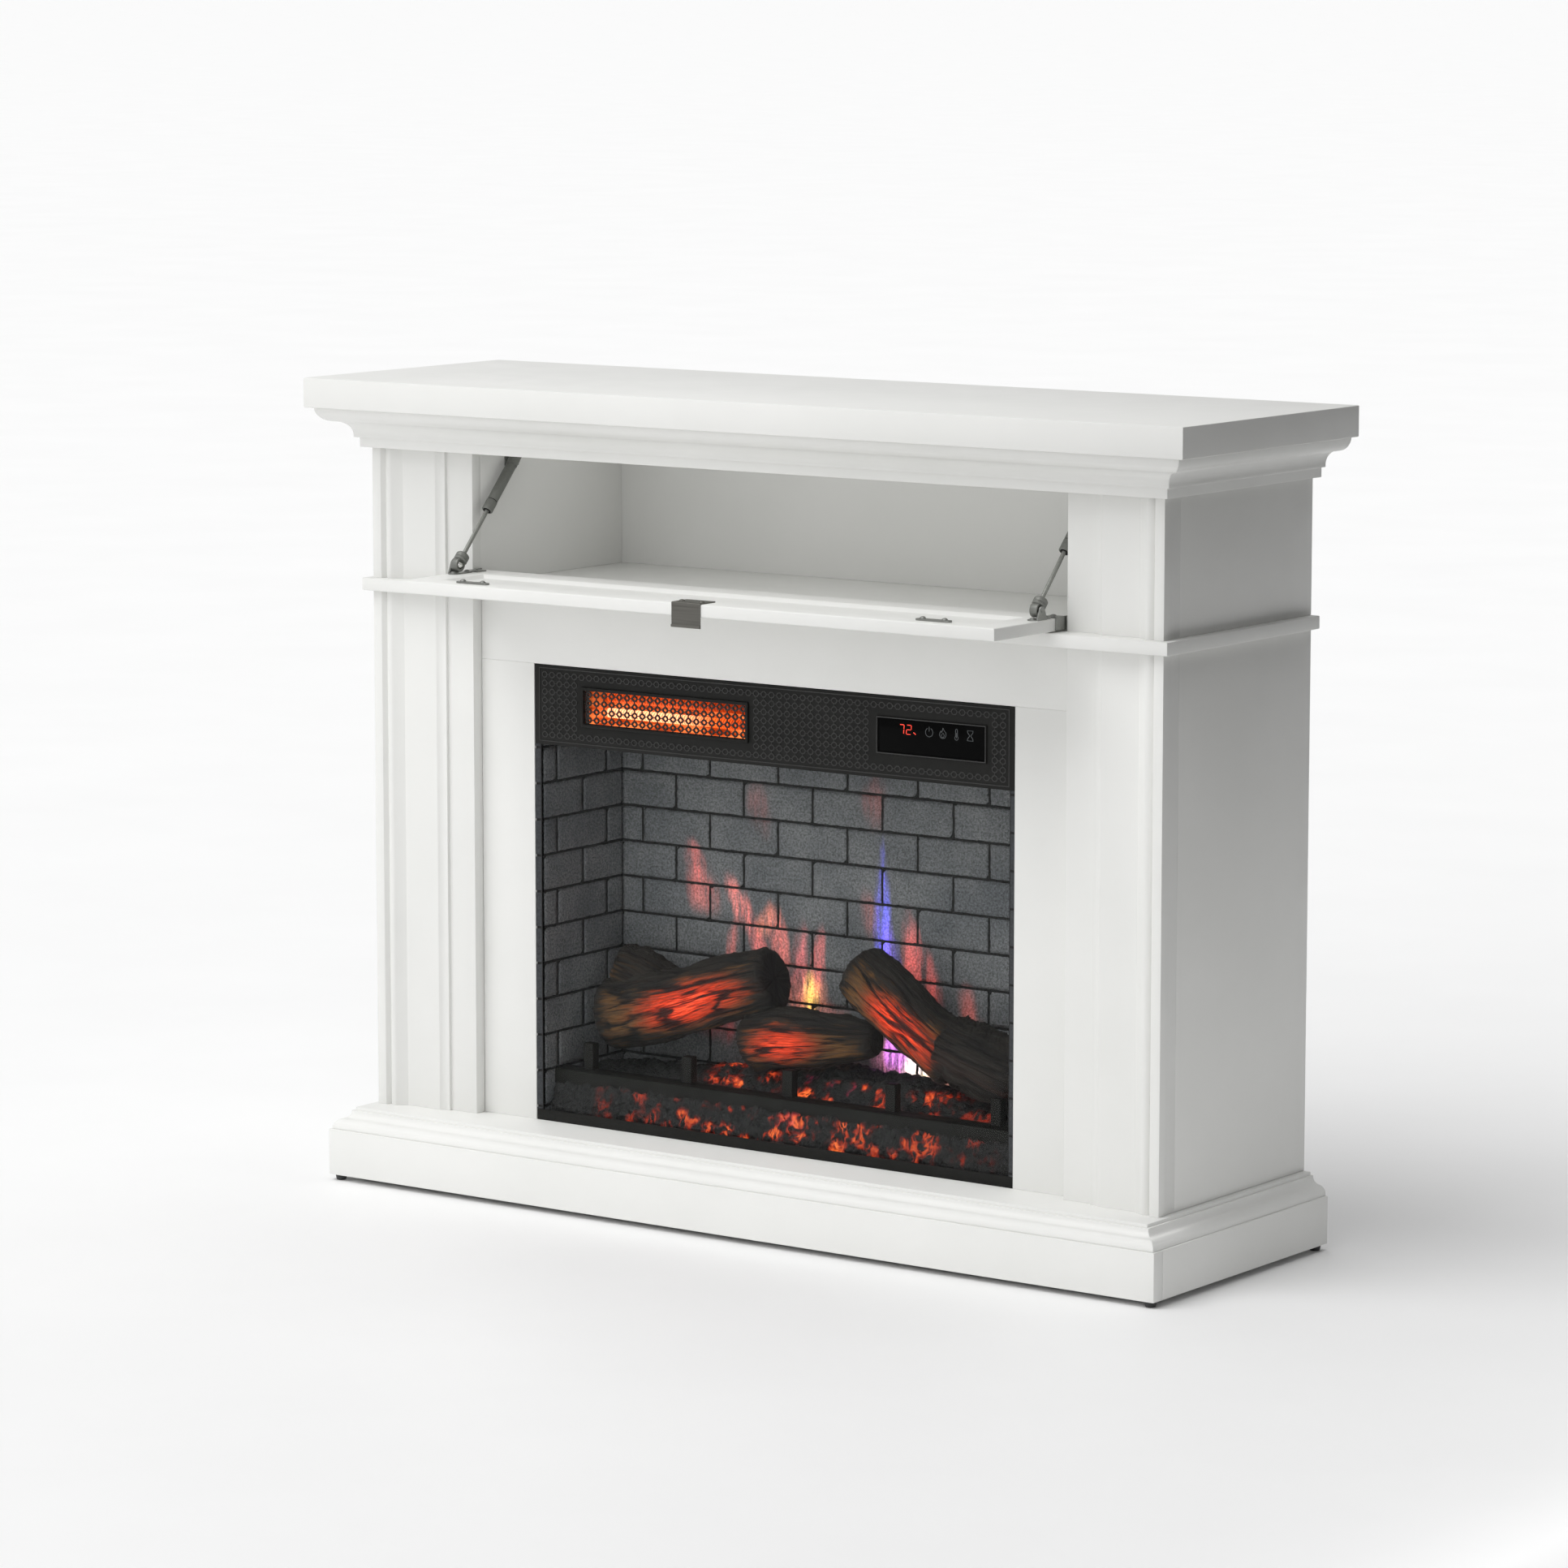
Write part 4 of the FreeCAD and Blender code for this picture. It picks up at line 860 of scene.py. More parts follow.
def ember_material(name, spots, band, strength, rosy_part):
    """Glossy black coal that glows near the lamp spots, given as (x, half width, power).

    The glow stays within the band of heights and turns rosy in the middle by the share given.
    """
    shader = Shader(name, (0.01, 0.01, 0.01), 0.34)
    shader.put("Specular IOR Level", 0.4)
    grit = shader.noise(500.0, 5.0, 0.65)
    shader.put("Base Color", shader.ramp(grit, (0.35, (0.004, 0.004, 0.004)), (0.7, (0.024, 0.025, 0.026))))
    shader.put("Roughness", shader.span(grit, 0.3, 0.7, 0.25, 0.55))
    shader.bump(shader.plus(grit, shader.times(shader.noise(160.0, 3.0), 1.4)), 0.0018, 0.8)
    x, _, z = shader.split()
    snake = shader.noise(1.0, 2.0, 0.55, shader.stretched(78.0, 50.0, 50.0), 1.0)
    lines = shader.span(shader.apart(snake, 0.5), 0.12, 0.0)
    lines = shader.times(lines, shader.span(shader.noise(46.0, 2.0), 0.46, 0.66))
    fade = 6 * MM
    within = shader.math("MINIMUM", shader.span(z, band[0], band[0] + fade),
                         shader.span(z, band[1], band[1] - fade))
    lines = shader.times(lines, within)
    total = None
    for centre, half, power in spots:
        share = shader.times(shader.span(shader.apart(x, centre * MM), half * MM, half * 0.3 * MM), power)
        total = share if total is None else shader.math("MAXIMUM", total, share)
    # Painted light: the lamp light through the coals is painted as their glow.
    lamp_glow = shader.times(lines, total)
    glow_color = shader.ramp(lamp_glow, (0.0, (0.45, 0.012, 0.0)), (0.4, (0.85, 0.055, 0.008)),
                      (1.0, (1.0, 0.20, 0.035)))
    pink = shader.times(rosy_part, shader.span(shader.apart(x, 0.022), 0.05, 0.01))
    pink = shader.times(pink, shader.span(shader.noise(40.0, 1.0), 0.45, 0.6))
    shader.put("Emission Color", shader.blend(pink, glow_color, (1.0, 0.06, 0.28)))
    shader.put("Emission Strength", shader.times(lamp_glow, strength))
    return shader.material


def make_glass():
    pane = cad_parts["front_glass"]
    pane.data.materials.clear()
    pane.data.materials.append(pane_glass())


def make_embers():
    near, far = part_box("front_ember_bed")

    def front_outline(x):
        lift = 1.2 * MM * noise.noise(Vector((x * 30, 0, 3)))
        corners = ((near.y + 1 * MM, near.z + 1 * MM), (near.y + 2.2 * MM, near.z + 9 * MM),
                   (near.y + 10 * MM, far.z - 4 * MM + lift), (near.y + 13.5 * MM, far.z - 1.5 * MM + lift),
                   (far.y, far.z - 5 * MM))
        return path_points(corners, 44)

    spots = ((-175, 70, 0.45), (-110, 70, 0.8), (-20, 90, 1.0), (60, 90, 1.0), (150, 80, 0.7),
             (215, 60, 0.35))
    front = ember_material("coal_front", spots, (near.z + 2 * MM, far.z - 1 * MM), 1.0, 0.15)
    lumpy_sheet("front_coals", "front_ember_bed", front_outline, round((far.x - near.x) / (1.7 * MM)),
                front, 5.0)
    rear_near, rear_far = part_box("rear_ember_bed")

    def rear_outline(x):
        middle, spread, swell = 45 * MM, 150 * MM, 24 * MM
        share = (x - middle) / spread
        crest = rear_far.z - 8 * MM + swell * math.exp(-share * share)
        crest += 5 * MM * noise.noise(Vector((x * 22, 1, 0)))
        left = min(1.0, max(0.0, (x - rear_near.x) / (50 * MM)))
        crest = rear_far.z - 14 * MM + (crest - rear_far.z + 14 * MM) * left
        corners = ((rear_near.y + 1 * MM, rear_near.z + 20 * MM),
                   (rear_near.y + 10 * MM, rear_near.z + 38 * MM),
                   (rear_near.y + 34 * MM, crest - 7 * MM), (rear_near.y + 52 * MM, crest),
                   (rear_far.y - 12 * MM, crest - 8 * MM), (rear_far.y, rear_near.z + 30 * MM))
        return path_points(corners, 62)

    spots = ((-85, 60, 1.0), (20, 50, 1.0), (75, 40, 0.9), (150, 40, 0.8), (205, 30, 0.3))
    rear = ember_material("coal_rear", spots, (rear_near.z, rear_far.z + 4 * MM), 1.25, 1.0)
    lumpy_sheet("rear_coals", "rear_ember_bed", rear_outline,
                round((rear_far.x - rear_near.x) / (2.2 * MM)), rear, 11.0)
    rounded_copy("grate", COAT, "grate_iron", 0.9)
    rounded_copy("front_lip", COAT, "black_steel", 0.4)


# ---------------------------------------------------------------- fascia, grille and controls

def ring_points(centre, half_x, half_z, cut, y):
    """An octagon with its corners cut, in the plane of the fascia."""
    x, z = centre
    return [Vector((x + dx, y, z + dz)) for dx, dz in (
        (half_x, -half_z + cut), (half_x, half_z - cut), (half_x - cut, half_z), (-half_x + cut, half_z),
        (-half_x, half_z - cut), (-half_x, -half_z + cut), (-half_x + cut, -half_z), (half_x - cut, -half_z))]


# Shares of the pitch: half a ring's width, and where a link between two rings starts and ends; then
# the share of a ring's half width that its cut corners take.
RING_SHARE, LINK_START, LINK_END = 0.37, 0.36, 0.64
CORNER_SHARE = 0.52


def add_ring(data, centre, pitch_x, pitch_z, width, back, front):
    """A raised eight-sided ring with sloping flanks."""
    outer_x, outer_z = pitch_x * RING_SHARE, pitch_z * RING_SHARE
    cut = outer_x * CORNER_SHARE
    flank = abs(front - back) * 0.225
    loops = [ring_points(centre, outer_x - inset, outer_z - inset, cut * share, y)
             for inset, share, y in ((0, 1.0, back), (flank, 1.0, front), (width - flank, 0.85, front),
                                     (width, 0.8, back))]
    add_loops(data, loops, ring=True)


def lattice(data, near, far, columns, rows, width, back, front, keep=lambda x, z: True):
    """Rings in rows and columns between two (x, z) corners, joined by short links."""
    (left, bottom), (right, top) = near, far
    pitch_x, pitch_z = (right - left) / columns, (top - bottom) / rows
    link = width * 0.62
    y_low, y_high = sorted((back, front))
    for column in range(columns):
        for row in range(rows):
            x, z = left + pitch_x * (column + 0.5), bottom + pitch_z * (row + 0.5)
            if not keep(x, z):
                continue
            add_ring(data, (x, z), pitch_x, pitch_z, width, back, front)
            if column < columns - 1 and keep(x + pitch_x, z):
                add_box(data, (x + pitch_x * LINK_START, y_low, z - link / 2),
                        (x + pitch_x * LINK_END, y_high, z + link / 2))
            if row < rows - 1 and keep(x, z + pitch_z):
                add_box(data, (x - link / 2, y_low, z + pitch_z * LINK_START),
                        (x + link / 2, y_high, z + pitch_z * LINK_END))


def add_frame(data, near, far, width, y_low, y_high):
    """Four bars around a rectangle in the plane of the fascia."""
    (left, bottom), (right, top) = near, far
    for x0, x1, z0, z1 in ((left, right, bottom, bottom + width), (left, right, top - width, top),
                           (left, left + width, bottom + width, top - width),
                           (right - width, right, bottom + width, top - width)):
        add_box(data, (x0, y_low, z0), (x1, y_high, z1))


def make_fascia():
    rounded_copy("fascia", COAT, "black_steel", 0.4)
    face = low("fascia").y
    grille_near, grille_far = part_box("heater_grille_frame")
    bezel_near, bezel_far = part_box("control_bezel")
    margin = 5.2 * MM
    left, right = -284.0 * MM, 284.0 * MM
    bottom, top = 471.0 * MM, 541.0 * MM

    def clear(x, z):
        for near, far in ((grille_near, grille_far), (bezel_near, bezel_far)):
            if near.x - margin < x < far.x + margin and near.z - margin < z < far.z + margin:
                return False
        return True

    def emboss(data):
        lattice(data, (left, bottom), (right, top), 60, 8, 1.05 * MM, face + 0.1 * MM, face - 0.55 * MM,
                clear)
        border = 2.6 * MM
        add_frame(data, (left - border, bottom - border), (right + border, top + border), 0.8 * MM,
                  face - 0.4 * MM, face + 0.1 * MM)

    from_builder("fascia_pattern", emboss, black_coat("pattern_coat", (0.020, 0.020, 0.019), 0.6), CABINET,
                 "black_steel")
    rounded_copy("heater_grille_frame", COAT, "black_steel", 0.7)
    rounded_copy("control_bezel", COAT, "black_plastic", 0.7)

    def grille(data):
        near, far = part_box("heater_grille")
        columns, rows, half_link = 21, 4, 0.4 * MM
        lattice(data, (near.x, near.z), (far.x, far.z), columns, rows, 1.65 * MM, far.y, near.y)
        pitch_x, pitch_z = (far.x - near.x) / columns, (far.z - near.z) / rows
        link_x, link_z = pitch_x * 0.14, pitch_z * 0.14
        for row in range(rows):
            z = near.z + pitch_z * (row + 0.5)
            for x0, x1 in ((near.x, near.x + link_x), (far.x - link_x, far.x)):
                add_box(data, (x0, near.y, z - half_link), (x1, far.y, z + half_link))
        for column in range(columns):
            x = near.x + pitch_x * (column + 0.5)
            for z0, z1 in ((near.z, near.z + link_z), (far.z - link_z, far.z)):
                add_box(data, (x - half_link, near.y, z0), (x + half_link, far.y, z1))
        add_frame(data, (near.x, near.z), (far.x, far.z), 0.7 * MM, near.y, (near.y + far.y) / 2)

    dark = metal("grille_dark", (0.022, 0.020, 0.018), 0.45, (200.0, 200.0, 200.0), 0.3)
    from_builder("heater_lattice", grille, dark, CABINET, "grille_steel", ("heater_grille",))
    make_heater()
    make_controls()


def make_heater():
    """Quartz tubes lit as when the heater runs, and the trough behind them with their reflection painted as
    glow.
    """
    tubes = Shader("quartz_hot", (0.3, 0.05, 0.01), 0.25)
    x, _, z = tubes.split()
    near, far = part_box("quartz_tubes")
    coil = tubes.add("ShaderNodeTexWave", {"bands_direction": "X"}, Vector=tubes.place, Scale=90.0,
                     Distortion=1.5).outputs["Fac"]
    along = tubes.span(x, far.x - 20 * MM, near.x + 80 * MM, 0.25, 1.0)
    lower = tubes.span(z, (near.z + far.z) / 2 + 1 * MM, (near.z + far.z) / 2 - 1 * MM, 0.25, 1.0)
    power = tubes.times(along, lower)
    tubes.put("Emission Color", tubes.ramp(power, (0.0, (0.9, 0.06, 0.01)), (0.5, (1.0, 0.14, 0.02)),
                                           (1.0, (1.0, 0.34, 0.16))))
    tubes.put("Emission Strength", tubes.times(power, tubes.span(coil, 0.1, 0.9, 1.4, 3.4)))
    tubes.bump(coil, 0.0004)
    rounded_copy("quartz_tubes", tubes.material, "quartz", 0.4)

    # Painted reflection: the tubes' light on the trough is painted as its glow, brighter low down and at the
    # right end.
    trough = Shader("reflector_lit", (0.25, 0.08, 0.03), 0.35, 0.6)
    x, _, z = trough.split()
    near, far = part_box("heater_reflector")
    blotch = trough.noise(1.0, 4.0, 0.6, trough.stretched(26.0, 26.0, 160.0))
    right_end = trough.span(x, far.x - 70 * MM, far.x - 10 * MM)
    speck = trough.span(trough.noise(240.0, 3.0), 0.45, 0.65)
    level = trough.span(blotch, 0.34, 0.6, 0.25, 1.0)
    level = trough.plus(level, trough.times(trough.times(right_end, speck), 1.2))
    low_half = trough.span(z, near.z + 30 * MM, near.z + 12 * MM, 0.40, 1.1)
    trough.put("Emission Color", trough.ramp(level, (0.0, (0.45, 0.02, 0.0)), (0.5, (0.9, 0.10, 0.012)),
                                             (1.0, (1.0, 0.24, 0.06))))
    trough.put("Emission Strength", trough.times(level, trough.times(low_half, 0.95)))
    trough.bump(blotch, 0.001)
    rounded_copy("heater_reflector", trough.material, "reflector", 0.3)


STROKE_THICK = 0.12 * MM
SEGMENTS = {"7": "abc", "2": "abged"}
SEGMENT_ENDS = {"a": ((0, 2), (1, 2)), "b": ((1, 2), (1, 1)), "c": ((1, 1), (1, 0)), "d": ((0, 0), (1, 0)),
                "e": ((0, 1), (0, 0)), "g": ((0, 1), (1, 1))}


def add_stroke(data, points, width, y, closed=False):
    """A thin raised line through points given as (x, z)."""
    if closed:
        points = list(points) + [points[0]]
    for (x0, z0), (x1, z1) in zip(points, points[1:]):
        run = Vector((x1 - x0, 0, z1 - z0))
        if run.length < 1e-7:
            continue
        side = Vector((-run.z, 0, run.x)).normalized() * width / 2
        ahead = run.normalized() * width * 0.3
        start, end = Vector((x0, y, z0)) - ahead, Vector((x1, y, z1)) + ahead
        flat = [start - side, end - side, end + side, start + side]
        add_loops(data, [flat, [point - Vector((0, STROKE_THICK, 0)) for point in flat]])


def arc_points(x, z, radius, start, end, count=20):
    turns = (math.radians(start + (end - start) * step / count) for step in range(count + 1))
    return [(x + radius * math.cos(turn), z + radius * math.sin(turn)) for turn in turns]


def make_controls():
    rounded_copy("control_lens", touch_glass(), "lens", 0.5)
    face = low("control_lens").y

    def digits(data):
        wide, tall, lean, base = 5.4 * MM, 9.0 * MM, 0.08, 510.3 * MM
        for x, digit in ((157.5 * MM, "7"), (166.0 * MM, "2")):
            for segment in SEGMENTS[digit]:
                ends = [(x + column * wide + row / 2 * tall * lean, base + row / 2 * tall)
                        for column, row in SEGMENT_ENDS[segment]]
                (x0, z0), (x1, z1) = ends
                trim_x, trim_z = (x1 - x0) * 0.12, (z1 - z0) * 0.12
                ends = ((x0 + trim_x, z0 + trim_z), (x1 - trim_x, z1 - trim_z))
                add_stroke(data, ends, 0.72 * MM, face)
        add_stroke(data, ((174.6 * MM, 512.3 * MM), (176.2 * MM, 511.6 * MM)), 0.8 * MM, face)
        add_stroke(data, ((176.4 * MM, 510.9 * MM), (177.2 * MM, 510.9 * MM)), 0.8 * MM, face)

    from_builder("display_digits", digits, glow("led_red", (1.0, 0.05, 0.02), 1.5), CABINET, "lens")

    def icons(data):
        line, z = 0.42 * MM, 514.4 * MM
        power_x, flame_x, heat_x, timer_x = 193.0 * MM, 209.0 * MM, 225.0 * MM, 241.0 * MM
        add_stroke(data, arc_points(power_x, z - 0.3 * MM, 4.3 * MM, 118, 422), line, face)
        add_stroke(data, ((power_x, z + 5.0 * MM), (power_x, z + 0.6 * MM)), line, face)
        flame = ((0.2, 5.2), (1.4, 3.0), (3.6, 0.6), (3.8, -2.0), (2.4, -4.4), (0, -5.0), (-2.4, -4.4),
                 (-3.8, -2.0), (-3.4, 0.6), (-2.2, 2.2), (-1.6, 0.6), (-0.4, 2.8))
        add_stroke(data, [(flame_x + a * MM, z + b * MM) for a, b in flame], line, face, closed=True)
        heart = ((0.4, 0.4), (1.8, -2.0), (0.8, -4.0), (-1.0, -4.0), (-1.8, -2.2), (-0.8, -0.9))
        add_stroke(data, [(flame_x + a * MM, z + b * MM) for a, b in heart], line * 0.8, face, closed=True)
        half, stem_top, stem_low = 1.1 * MM, z + 4.2 * MM, z - 1.9 * MM
        stem = [(heat_x + half, stem_low), (heat_x + half, stem_top)]
        stem += arc_points(heat_x, stem_top, half, 0, 180, 10)[1:]
        stem += [(heat_x - half, stem_low)] + arc_points(heat_x, z - 3.4 * MM, 1.95 * MM, 126, 414)
        add_stroke(data, stem, line, face)
        add_stroke(data, ((heat_x, z - 3.2 * MM), (heat_x, z + 1.5 * MM)), line, face)
        glass = ((-3.3, 4.9), (3.3, 4.9), (3.0, 2.9), (0.5, 0.0))
        for flip in (1, -1):
            for mirror in (1, -1):
                add_stroke(data, [(timer_x + mirror * a * MM, z + flip * b * MM) for a, b in glass],
                           line, face)

    from_builder("display_icons", icons, glow("icon_grey", (0.55, 0.6, 0.62), 0.16), CABINET, "lens")

    def edge_line(data):
        near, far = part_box("control_lens")
        inset = 1.0 * MM
        add_frame(data, (near.x - inset, near.z - inset), (far.x + inset, far.z + inset), 0.35 * MM,
                  low("control_bezel").y - 0.12 * MM, low("control_bezel").y + 0.1 * MM)

    bright = metal("edge_bright", (0.12, 0.12, 0.12), 0.3)
    from_builder("display_edge", edge_line, bright, CABINET, "black_plastic")


# ---------------------------------------------------------------- door fittings and struts

DOOR_TOP = high("door_frame").z
PLATE_MIDDLE = 350.5 * MM
EAR_THICK, EAR_FOOT, EAR_TIP = 1.8 * MM, 8.5 * MM, 4.3 * MM
PIN_RADIUS = 2.2 * MM
# Gas strut, in millimetres: how far the gland sits from the ball in the open pose, how far the tube's
# cap sits from the end eye, and the radii of the rod, its bore, the socket, the tube and its collars.
GLAND_REACH, CAP_REACH = 69.5, 14.0
ROD_RADIUS, BORE_RADIUS, SOCKET_RADIUS, TUBE_RADIUS, COLLAR_RADIUS = 2.15, 2.6, 7.1, 5.5, 5.8


def rounded_strip(x0, y0, x1, y1, half, turns=10):
    """An outline with round ends along a line, as (x, y) points."""
    along = Vector((x1 - x0, y1 - y0)).normalized()
    heading = math.atan2(along.y, along.x)
    points = []
    for (cx, cy), start in (((x1, y1), heading - math.pi / 2), ((x0, y0), heading + math.pi / 2)):
        for step in range(turns + 1):
            angle = start + math.pi * step / turns
            points.append((cx + half * math.cos(angle), cy + half * math.sin(angle)))
    return points


def make_clips():
    def build(data):
        near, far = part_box("door_clips")
        y = (near.y + far.y) / 2
        half = (far.y - near.y) / 2
        half_long, screw_shift, thick = 20 * MM, 12.5 * MM, 1.9 * MM
        reach = half_long - half
        for side in SIDES:
            x = side * (far.x - half_long)
            add_plate(data, rounded_strip(x - reach, y, x + reach, y, half), near.z, near.z + thick)
            for shift in (-screw_shift, screw_shift):
                add_dome(data, (x + shift, y, near.z + 1.8 * MM), (0, 0, 1), 3.1 * MM, 2.3 * MM)

    from_builder("clip_plates", build, ZINC, "door", "zinc", ("door_clips",), 0.2 * MM, limit=50.0)


def make_pull():
    """Bent plate over the door's edge with a rolled lip and two screws."""
    near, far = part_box("door_pull")
    thick = 1.2 * MM
    face = low("door_frame").y

    def build(data):
        outer = [(far.y, DOOR_TOP), (far.y, DOOR_TOP + thick), (face - thick + 0.9 * MM, DOOR_TOP + thick),
                 (face - thick + 0.25 * MM, DOOR_TOP + thick - 0.25 * MM),
                 (face - thick, DOOR_TOP + thick - 0.9 * MM),
                 (face - thick, near.z + 3.0 * MM), (near.y + 0.2 * MM, near.z + 2.6 * MM),
                 (near.y, near.z + 1.6 * MM), (near.y + 0.2 * MM, near.z + 0.5 * MM),
                 (near.y + 1.2 * MM, near.z),
                 (face, near.z), (face, DOOR_TOP)]
        add_loops(data, [[Vector((x, y, z)) for y, z in outer]
                         for x in (near.x, near.x + 0.5 * MM, far.x - 0.5 * MM, far.x)])
        for shift in (-12.0 * MM, 12.0 * MM):
            add_dome(data, (shift, face + 9.0 * MM, far.z - 0.1 * MM), (0, 0, 1), 3.2 * MM, 1.7 * MM)

    from_builder("pull_plate", build, NICKEL, "door", "nickel", ("door_pull",), 0.12 * MM, limit=40.0)


def make_door_brackets():
    """Plate screwed to the door, an upright tapering ear and the chrome ball."""
    near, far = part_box("strut_door_brackets")
    socket_low, socket_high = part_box("right_strut_rod")
    plane = (socket_low.x + socket_high.x) / 2
    ball = Vector((plane, low("right_strut_rod").y + 5 * MM, low("right_strut_rod").z + 5 * MM))

    def plates(data):
        for side in SIDES:
            x = side * PLATE_MIDDLE
            strip = rounded_strip(x, near.y + 5.5 * MM, x, far.y - 5 * MM, 5.2 * MM)
            add_plate(data, strip, DOOR_TOP, DOOR_TOP + 1.2 * MM)
            for y in (near.y + 5.5 * MM, far.y - 5.5 * MM):
                add_dome(data, (x, y, DOOR_TOP + 1.1 * MM), (0, 0, 1), 3.2 * MM, 2.0 * MM)
            inner, outer = far.x - EAR_THICK, far.x
            outline = [(ball.y - EAR_FOOT, DOOR_TOP), (ball.y + EAR_FOOT, DOOR_TOP)]
            outline += arc_points(ball.y, ball.z, EAR_TIP, 10, 170, 12)
            add_loops(data, [[Vector((side * x, y, z)) for y, z in outline] for x in (inner, outer)])
            add_tube(data, (side * (inner - 1 * MM), ball.y, ball.z),
                     (side * (outer + 0.9 * MM), ball.y, ball.z), PIN_RADIUS)

    from_builder("bracket_plates", plates, ZINC, "door", "zinc", ("strut_door_brackets",), 0.15 * MM,
                 limit=50.0)

    def balls(data):
        for side in SIDES:
            bmesh.ops.create_uvsphere(data, u_segments=32, v_segments=20, radius=4.1 * MM,
                                      matrix=Matrix.Translation((side * (plane - 1.0 * MM), ball.y, ball.z)))
            add_tube(data, (side * plane, ball.y, ball.z), (side * (far.x - EAR_THICK), ball.y, ball.z),
                     PIN_RADIUS)

    chrome = metal("chrome", (0.72, 0.72, 0.7), 0.12)
    from_builder("bracket_balls", balls, chrome, "door", "polished_rod", limit=50.0)
    return ball


def make_struts(ball):
    """Gas struts: ball socket and rod, then tube with its gland collar and end eye."""
    wall_near, wall_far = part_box("strut_wall_brackets")
    top = Vector((ball.x, (wall_near.y + wall_far.y) / 2, (wall_near.z + wall_far.z) / 2))
    run = (top - ball).normalized()
    gland = GLAND_REACH
    cap = (top - ball).length / MM - CAP_REACH
    across = Vector((1, 0, 0))
    flat = run.cross(across).normalized()
    dark = metal("gap_dark", (0.03, 0.03, 0.03), 0.6)
    for side, name in ((-1, "left"), (1, "right")):
        start = Vector((side * ball.x, ball.y, ball.z))

        def rod(data):
            lathe(data, start, run, ((11.5, 1.0), (11.5, ROD_RADIUS), (gland + 1, ROD_RADIUS),
                                     (gland + 1, 1.0)))

        def socket(data):
            lathe(data, start, run, ((4.0, 3.2), (4.0, 6.4), (5.0, SOCKET_RADIUS), (6.4, SOCKET_RADIUS),
                                     (6.7, 6.5), (7.2, 6.5), (7.5, SOCKET_RADIUS), (11.6, SOCKET_RADIUS),
                                     (12.9, 6.0), (12.9, 2.3)))
            inner, outer = side * (ball.x - 3.6 * MM), side * (ball.x + 4.4 * MM)
            loops = []
            for x, radius in ((inner, 4.5), (inner, 6.9), (outer, 6.9), (outer, 4.5)):
                loops.append([Vector((x, start.y, start.z)) + run * u + flat * v
                              for u, v in circle(radius * MM, 28)])
            add_loops(data, loops, ring=True)

        def tube(data):
            lathe(data, start, run, (
                (gland + 60.0, BORE_RADIUS), (gland, BORE_RADIUS), (gland, 5.2),
                (gland + 0.6, COLLAR_RADIUS), (gland + 12.0, COLLAR_RADIUS), (gland + 12.3, 5.1),
                (gland + 12.9, 5.1), (gland + 13.2, TUBE_RADIUS), (cap - 6.0, TUBE_RADIUS),
                (cap - 5.7, 5.1), (cap - 5.2, 5.1), (cap - 4.9, 5.9), (cap + 3.0, 5.9), (cap + 4.0, 5.3),
                (cap + 4.0, 2.0)))
            centre = Vector((side * top.x, top.y, top.z))
            lathe(data, centre, across, ((-4.5, 3.0), (-4.5, 5.6), (-4.0, 6.1), (4.0, 6.1), (4.5, 5.6),
                                         (4.5, 3.0)))
            half = 4.0 * MM
            loops = []
            for point in (centre - run * 11 * MM, centre - run * 3 * MM):
                loops.append([point + flat * v * half + across * u * half
                              for u, v in ((1, 1), (-1, 1), (-1, -1), (1, -1))])
            add_loops(data, loops)

        # Dark rings in the gland: the one on the rod face stands for its seal, and both darken the gland's
        # gaps as painted shade.
        def seals_and_gap_shade(data):
            for near, far, inner, outer in ((-0.3, 0.2, 2.8, 4.2), (12.2, 13.0, 4.8, 5.35)):
                lathe(data, start, run, ((gland + near, inner), (gland + near, outer), (gland + far, outer),
                                         (gland + far, inner)), ring=True)

        steel = metal(name + "_rod_steel", (0.27, 0.275, 0.255), 0.35, metallic=0.4)
        rod_body, tube_body = name + "_strut_rod", name + "_strut_tube"
        from_builder(name + "_piston_rod", rod, steel, rod_body, "polished_rod", limit=40.0)
        from_builder(name + "_ball_socket", socket, STRUT, rod_body, "strut_paint", (rod_body,), 0.25 * MM,
                     limit=40.0)
        from_builder(name + "_gas_tube", tube, STRUT, tube_body, "strut_paint", (name + "_strut_body",),
                     0.2 * MM, limit=40.0)
        from_builder(name + "_gland_seal_and_gap_shade", seals_and_gap_shade, dark, tube_body, "black_plastic")


